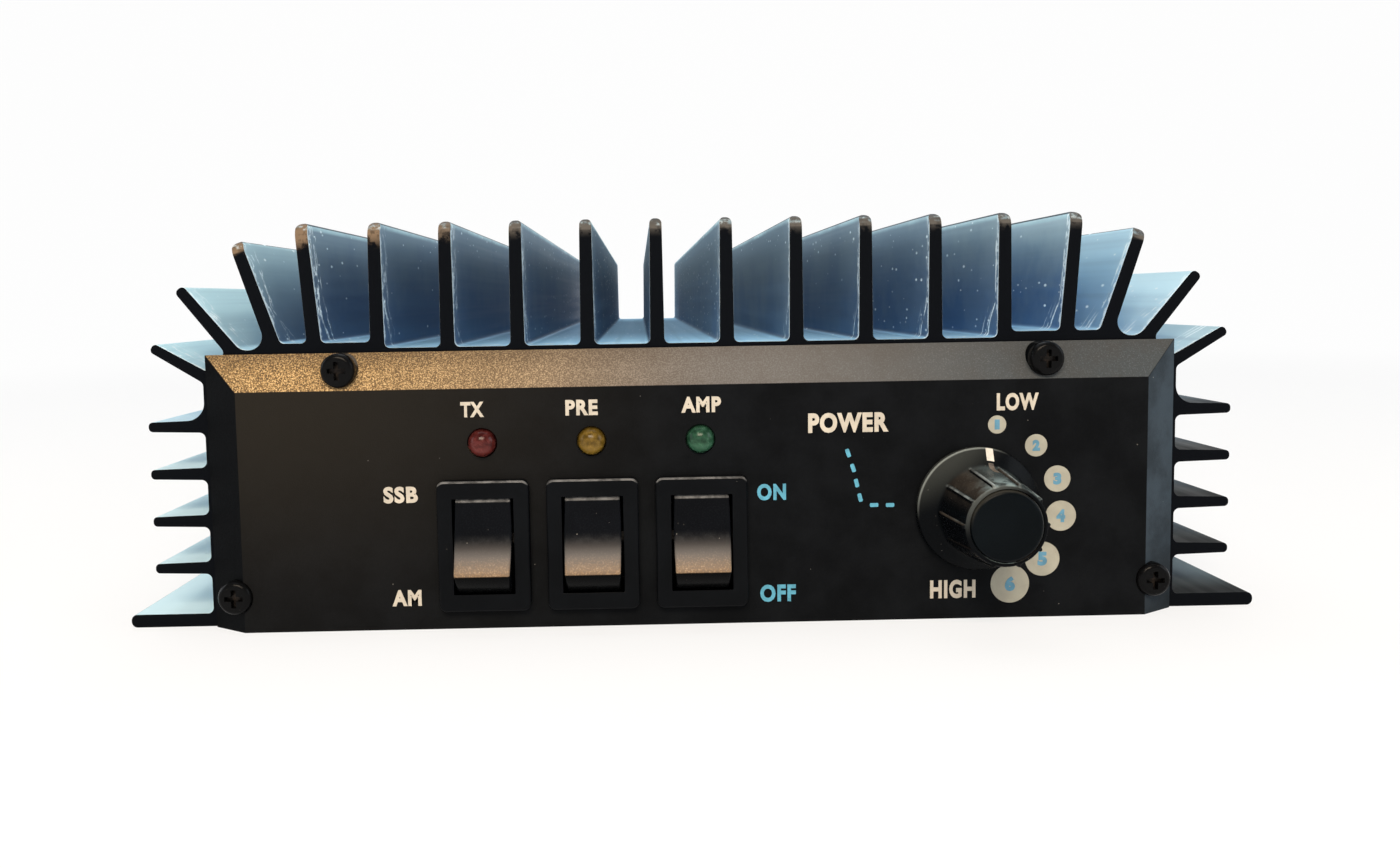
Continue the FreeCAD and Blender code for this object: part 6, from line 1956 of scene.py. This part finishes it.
@dataclass
class Inside:
    """Switch, board and components inside the housing, which keep their CAD solids."""

    frame: Frame

    def build(self) -> None:
        """Dress the inner nodes."""
        dresses = {
            "zinc_steel": ("switch_shaft", "rotary_switch", "board_screws", "transistor_screws"),
            "nickel": ("rotary_switch_nut", "board_standoffs", "rf_transistors"),
            "tinned": ("rotary_switch_pins", "rocker_blades", "led_leads"),
            "laminate": ("main_board",),
            "ferrite": ("output_transformer", "input_transformer", "choke_core"),
            "copper_wire": ("transformer_windings", "choke_winding", "signal_jumpers"),
            "component_black": ("relays", "electrolytic_cans", "attenuator_resistors",
                                "mica_capacitors")}
        for finish, names in dresses.items():
            self.frame.dress(finish, *names)


# ---------------------------------------------------------------- studio
@dataclass(frozen=True)
class Lamp:
    """One soft lamp that points at its aim."""

    name: str
    place: Triple
    aim: Triple
    size: Pair
    power: float
    colour: Colour

    def hang(self) -> None:
        """Add the lamp to the scene."""
        data = bpy.data.lights.new(self.name, "AREA")
        data.shape = "RECTANGLE"
        data.size, data.size_y = self.size
        data.energy = self.power
        data.color = self.colour
        holder = bpy.data.objects.new(self.name, data)
        holder.location = self.place
        towards = Vector(self.aim) - Vector(self.place)
        holder.rotation_euler = towards.to_track_quat("-Z", "Y").to_euler()
        bpy.context.scene.collection.objects.link(holder)


@dataclass
class Studio:
    """Pale sweep, soft lamps and the camera."""

    camera_place: Triple = (-0.0088, -0.27185, 0.05382)
    right: Triple = (0.99976, -0.01398, -0.01664)
    up: Triple = (0.01756, 0.06875, 0.99748)
    back: Triple = (-0.0128, -0.99754, 0.06898)
    focal_px: float = 1004.32
    width_px: float = 1400.0
    centre_px: Pair = (-47.37, -66.0)
    sensor: float = 36.0
    sweep_half: float = 4.0
    sweep_front: float = -3.0
    sweep_back: float = 1.6
    sweep_round: float = 1.0
    sweep_top: float = 4.0
    sky: Colour = (0.93, 0.96, 1.0)
    lamps: tuple[Lamp, ...] = (
        Lamp("warm_key", (-0.07, -0.776, 0.612), (0.0, -0.11, 0.01), (0.55, 0.28), 8.5,
             (1.0, 0.84, 0.66)),
        Lamp("overhead", (0.0, 0.20, 0.95), (0.0, 0.0, 0.05), (1.0, 0.7), 4.0,
             (0.90, 0.96, 1.0)),
        Lamp("cool_right", (0.95, -0.30, 0.45), (0.0, -0.05, 0.04), (0.5, 0.5), 2.0,
             (0.86, 0.94, 1.0)),
        Lamp("cool_left", (-1.0, 0.0, 0.35), (0.0, 0.0, 0.04), (0.5, 0.5), 2.0,
             (0.86, 0.94, 1.0)))

    def camera(self) -> None:
        """Set the camera."""
        data = bpy.data.cameras.new("view")
        data.sensor_width = self.sensor
        data.lens = self.focal_px / self.width_px * self.sensor
        data.shift_x = -self.centre_px[0] / self.width_px
        data.shift_y = self.centre_px[1] / self.width_px
        data.clip_start = 0.01
        holder = bpy.data.objects.new("view", data)
        rows = Matrix((self.right, self.up, self.back)).transposed()
        holder.matrix_world = Matrix.Translation(self.camera_place) @ rows.to_4x4()
        bpy.context.scene.collection.objects.link(holder)
        bpy.context.scene.camera = holder

    def sweep(self) -> None:
        """Floor that curves up into a backdrop: straight run, quarter circle, straight run."""
        turn = np.radians(np.linspace(0.0, 90.0, 24))
        centre = (self.sweep_back - self.sweep_round, self.sweep_round)
        bend = np.stack([centre[0] + self.sweep_round * np.sin(turn),
                         centre[1] - self.sweep_round * np.cos(turn)], axis=-1)
        line = np.concatenate([[(self.sweep_front, 0.0)], bend,
                               [(self.sweep_back, self.sweep_top)]])
        x = np.array([-self.sweep_half, self.sweep_half])
        surface = np.stack([np.repeat(x[None, :], len(line), axis=0),
                            np.repeat(line[:, :1], 2, axis=1), np.repeat(line[:, 1:], 2, axis=1)],
                           axis=-1)
        mesh = bpy.data.meshes.new("sweep")
        shell = Shell("sweep").grid(surface)
        mesh.from_pydata(np.concatenate(shell.points).tolist(), [], [f[::-1] for f in shell.faces])
        mesh.shade_smooth()
        floor = bpy.data.objects.new("sweep", mesh)
        bpy.context.scene.collection.objects.link(floor)
        mesh.materials.append(self.paper())

    @staticmethod
    def paper() -> bpy.types.Material:
        """Pale paper that the camera, reflections and clear pieces see as white.

        Near the middle a share of it stays plain paper, which shows the object's shadow.

        Returns:
            The material.
        """
        material = bpy.data.materials.new("paper")
        material.use_nodes = True
        graph = Graph(material.node_tree)
        shader = material.node_tree.nodes["Principled BSDF"]
        graph.feed(shader.inputs["Base Color"],
                   graph.blend(Effects.clouds(graph, 0.6), (0.80, 0.80, 0.80), (0.82, 0.82, 0.82)))
        shader.inputs["Roughness"].default_value = 0.9
        shader.inputs["Specular IOR Level"].default_value = 0.0
        glow = graph.node("ShaderNodeEmission", {"Strength": 1.0})
        rays = graph.node("ShaderNodeLightPath")
        seen = graph.most(rays.outputs["Is Camera Ray"], rays.outputs["Is Glossy Ray"],
                          rays.outputs["Is Transmission Ray"])
        away = graph.node("ShaderNodeVectorMath", {0: graph.place()}, operation="LENGTH")
        share = graph.times(seen, graph.ramp(away.outputs["Value"], 0.2, 0.9, 0.70, 0.97))
        mix = graph.node("ShaderNodeMixShader",
                         {0: share, 1: shader.outputs[0], 2: glow.outputs[0]})
        graph.feed(material.node_tree.nodes["Material Output"].inputs["Surface"], mix.outputs[0])
        return material

    def lights(self) -> None:
        """World light, white round the horizon and plain above it, and four soft lamps."""
        world = bpy.data.worlds.new("studio")
        world.use_nodes = True
        background = world.node_tree.nodes["Background"]
        background.inputs["Color"].default_value = (*self.sky, 1.0)
        graph = Graph(world.node_tree)
        _, _, rise = graph.axes(graph.node("ShaderNodeTexCoord").outputs["Generated"])
        graph.feed(background.inputs["Strength"], graph.ramp(rise, 0.10, 0.40, 0.97, 0.34))
        bpy.context.scene.world = world
        for lamp in self.lamps:
            lamp.hang()

    def build(self) -> None:
        """Set up the studio."""
        bpy.context.scene.view_settings.view_transform = "Standard"
        self.camera()
        self.sweep()
        self.lights()


def corners(box: tuple[Vector, Vector]) -> list[list[float]]:
    """A box as plain lists."""
    return [list(map(float, point)) for point in box]


def main() -> None:
    """Build the amplifier and its studio."""
    logging.basicConfig(level=logging.INFO, format="%(name)s: %(message)s")
    frame = Frame.load()
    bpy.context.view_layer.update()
    Studio().build()
    for part in (Casing(frame), PowerKnob(frame), Rockers(frame), Indicators(frame),
                 Legends(frame), RearFittings(frame), Inside(frame)):
        part.build()
        LOG.info("built %s", type(part).__name__)
    LOG.info("%d pieces", frame.pieces)


if __name__ == "__main__":
    main()
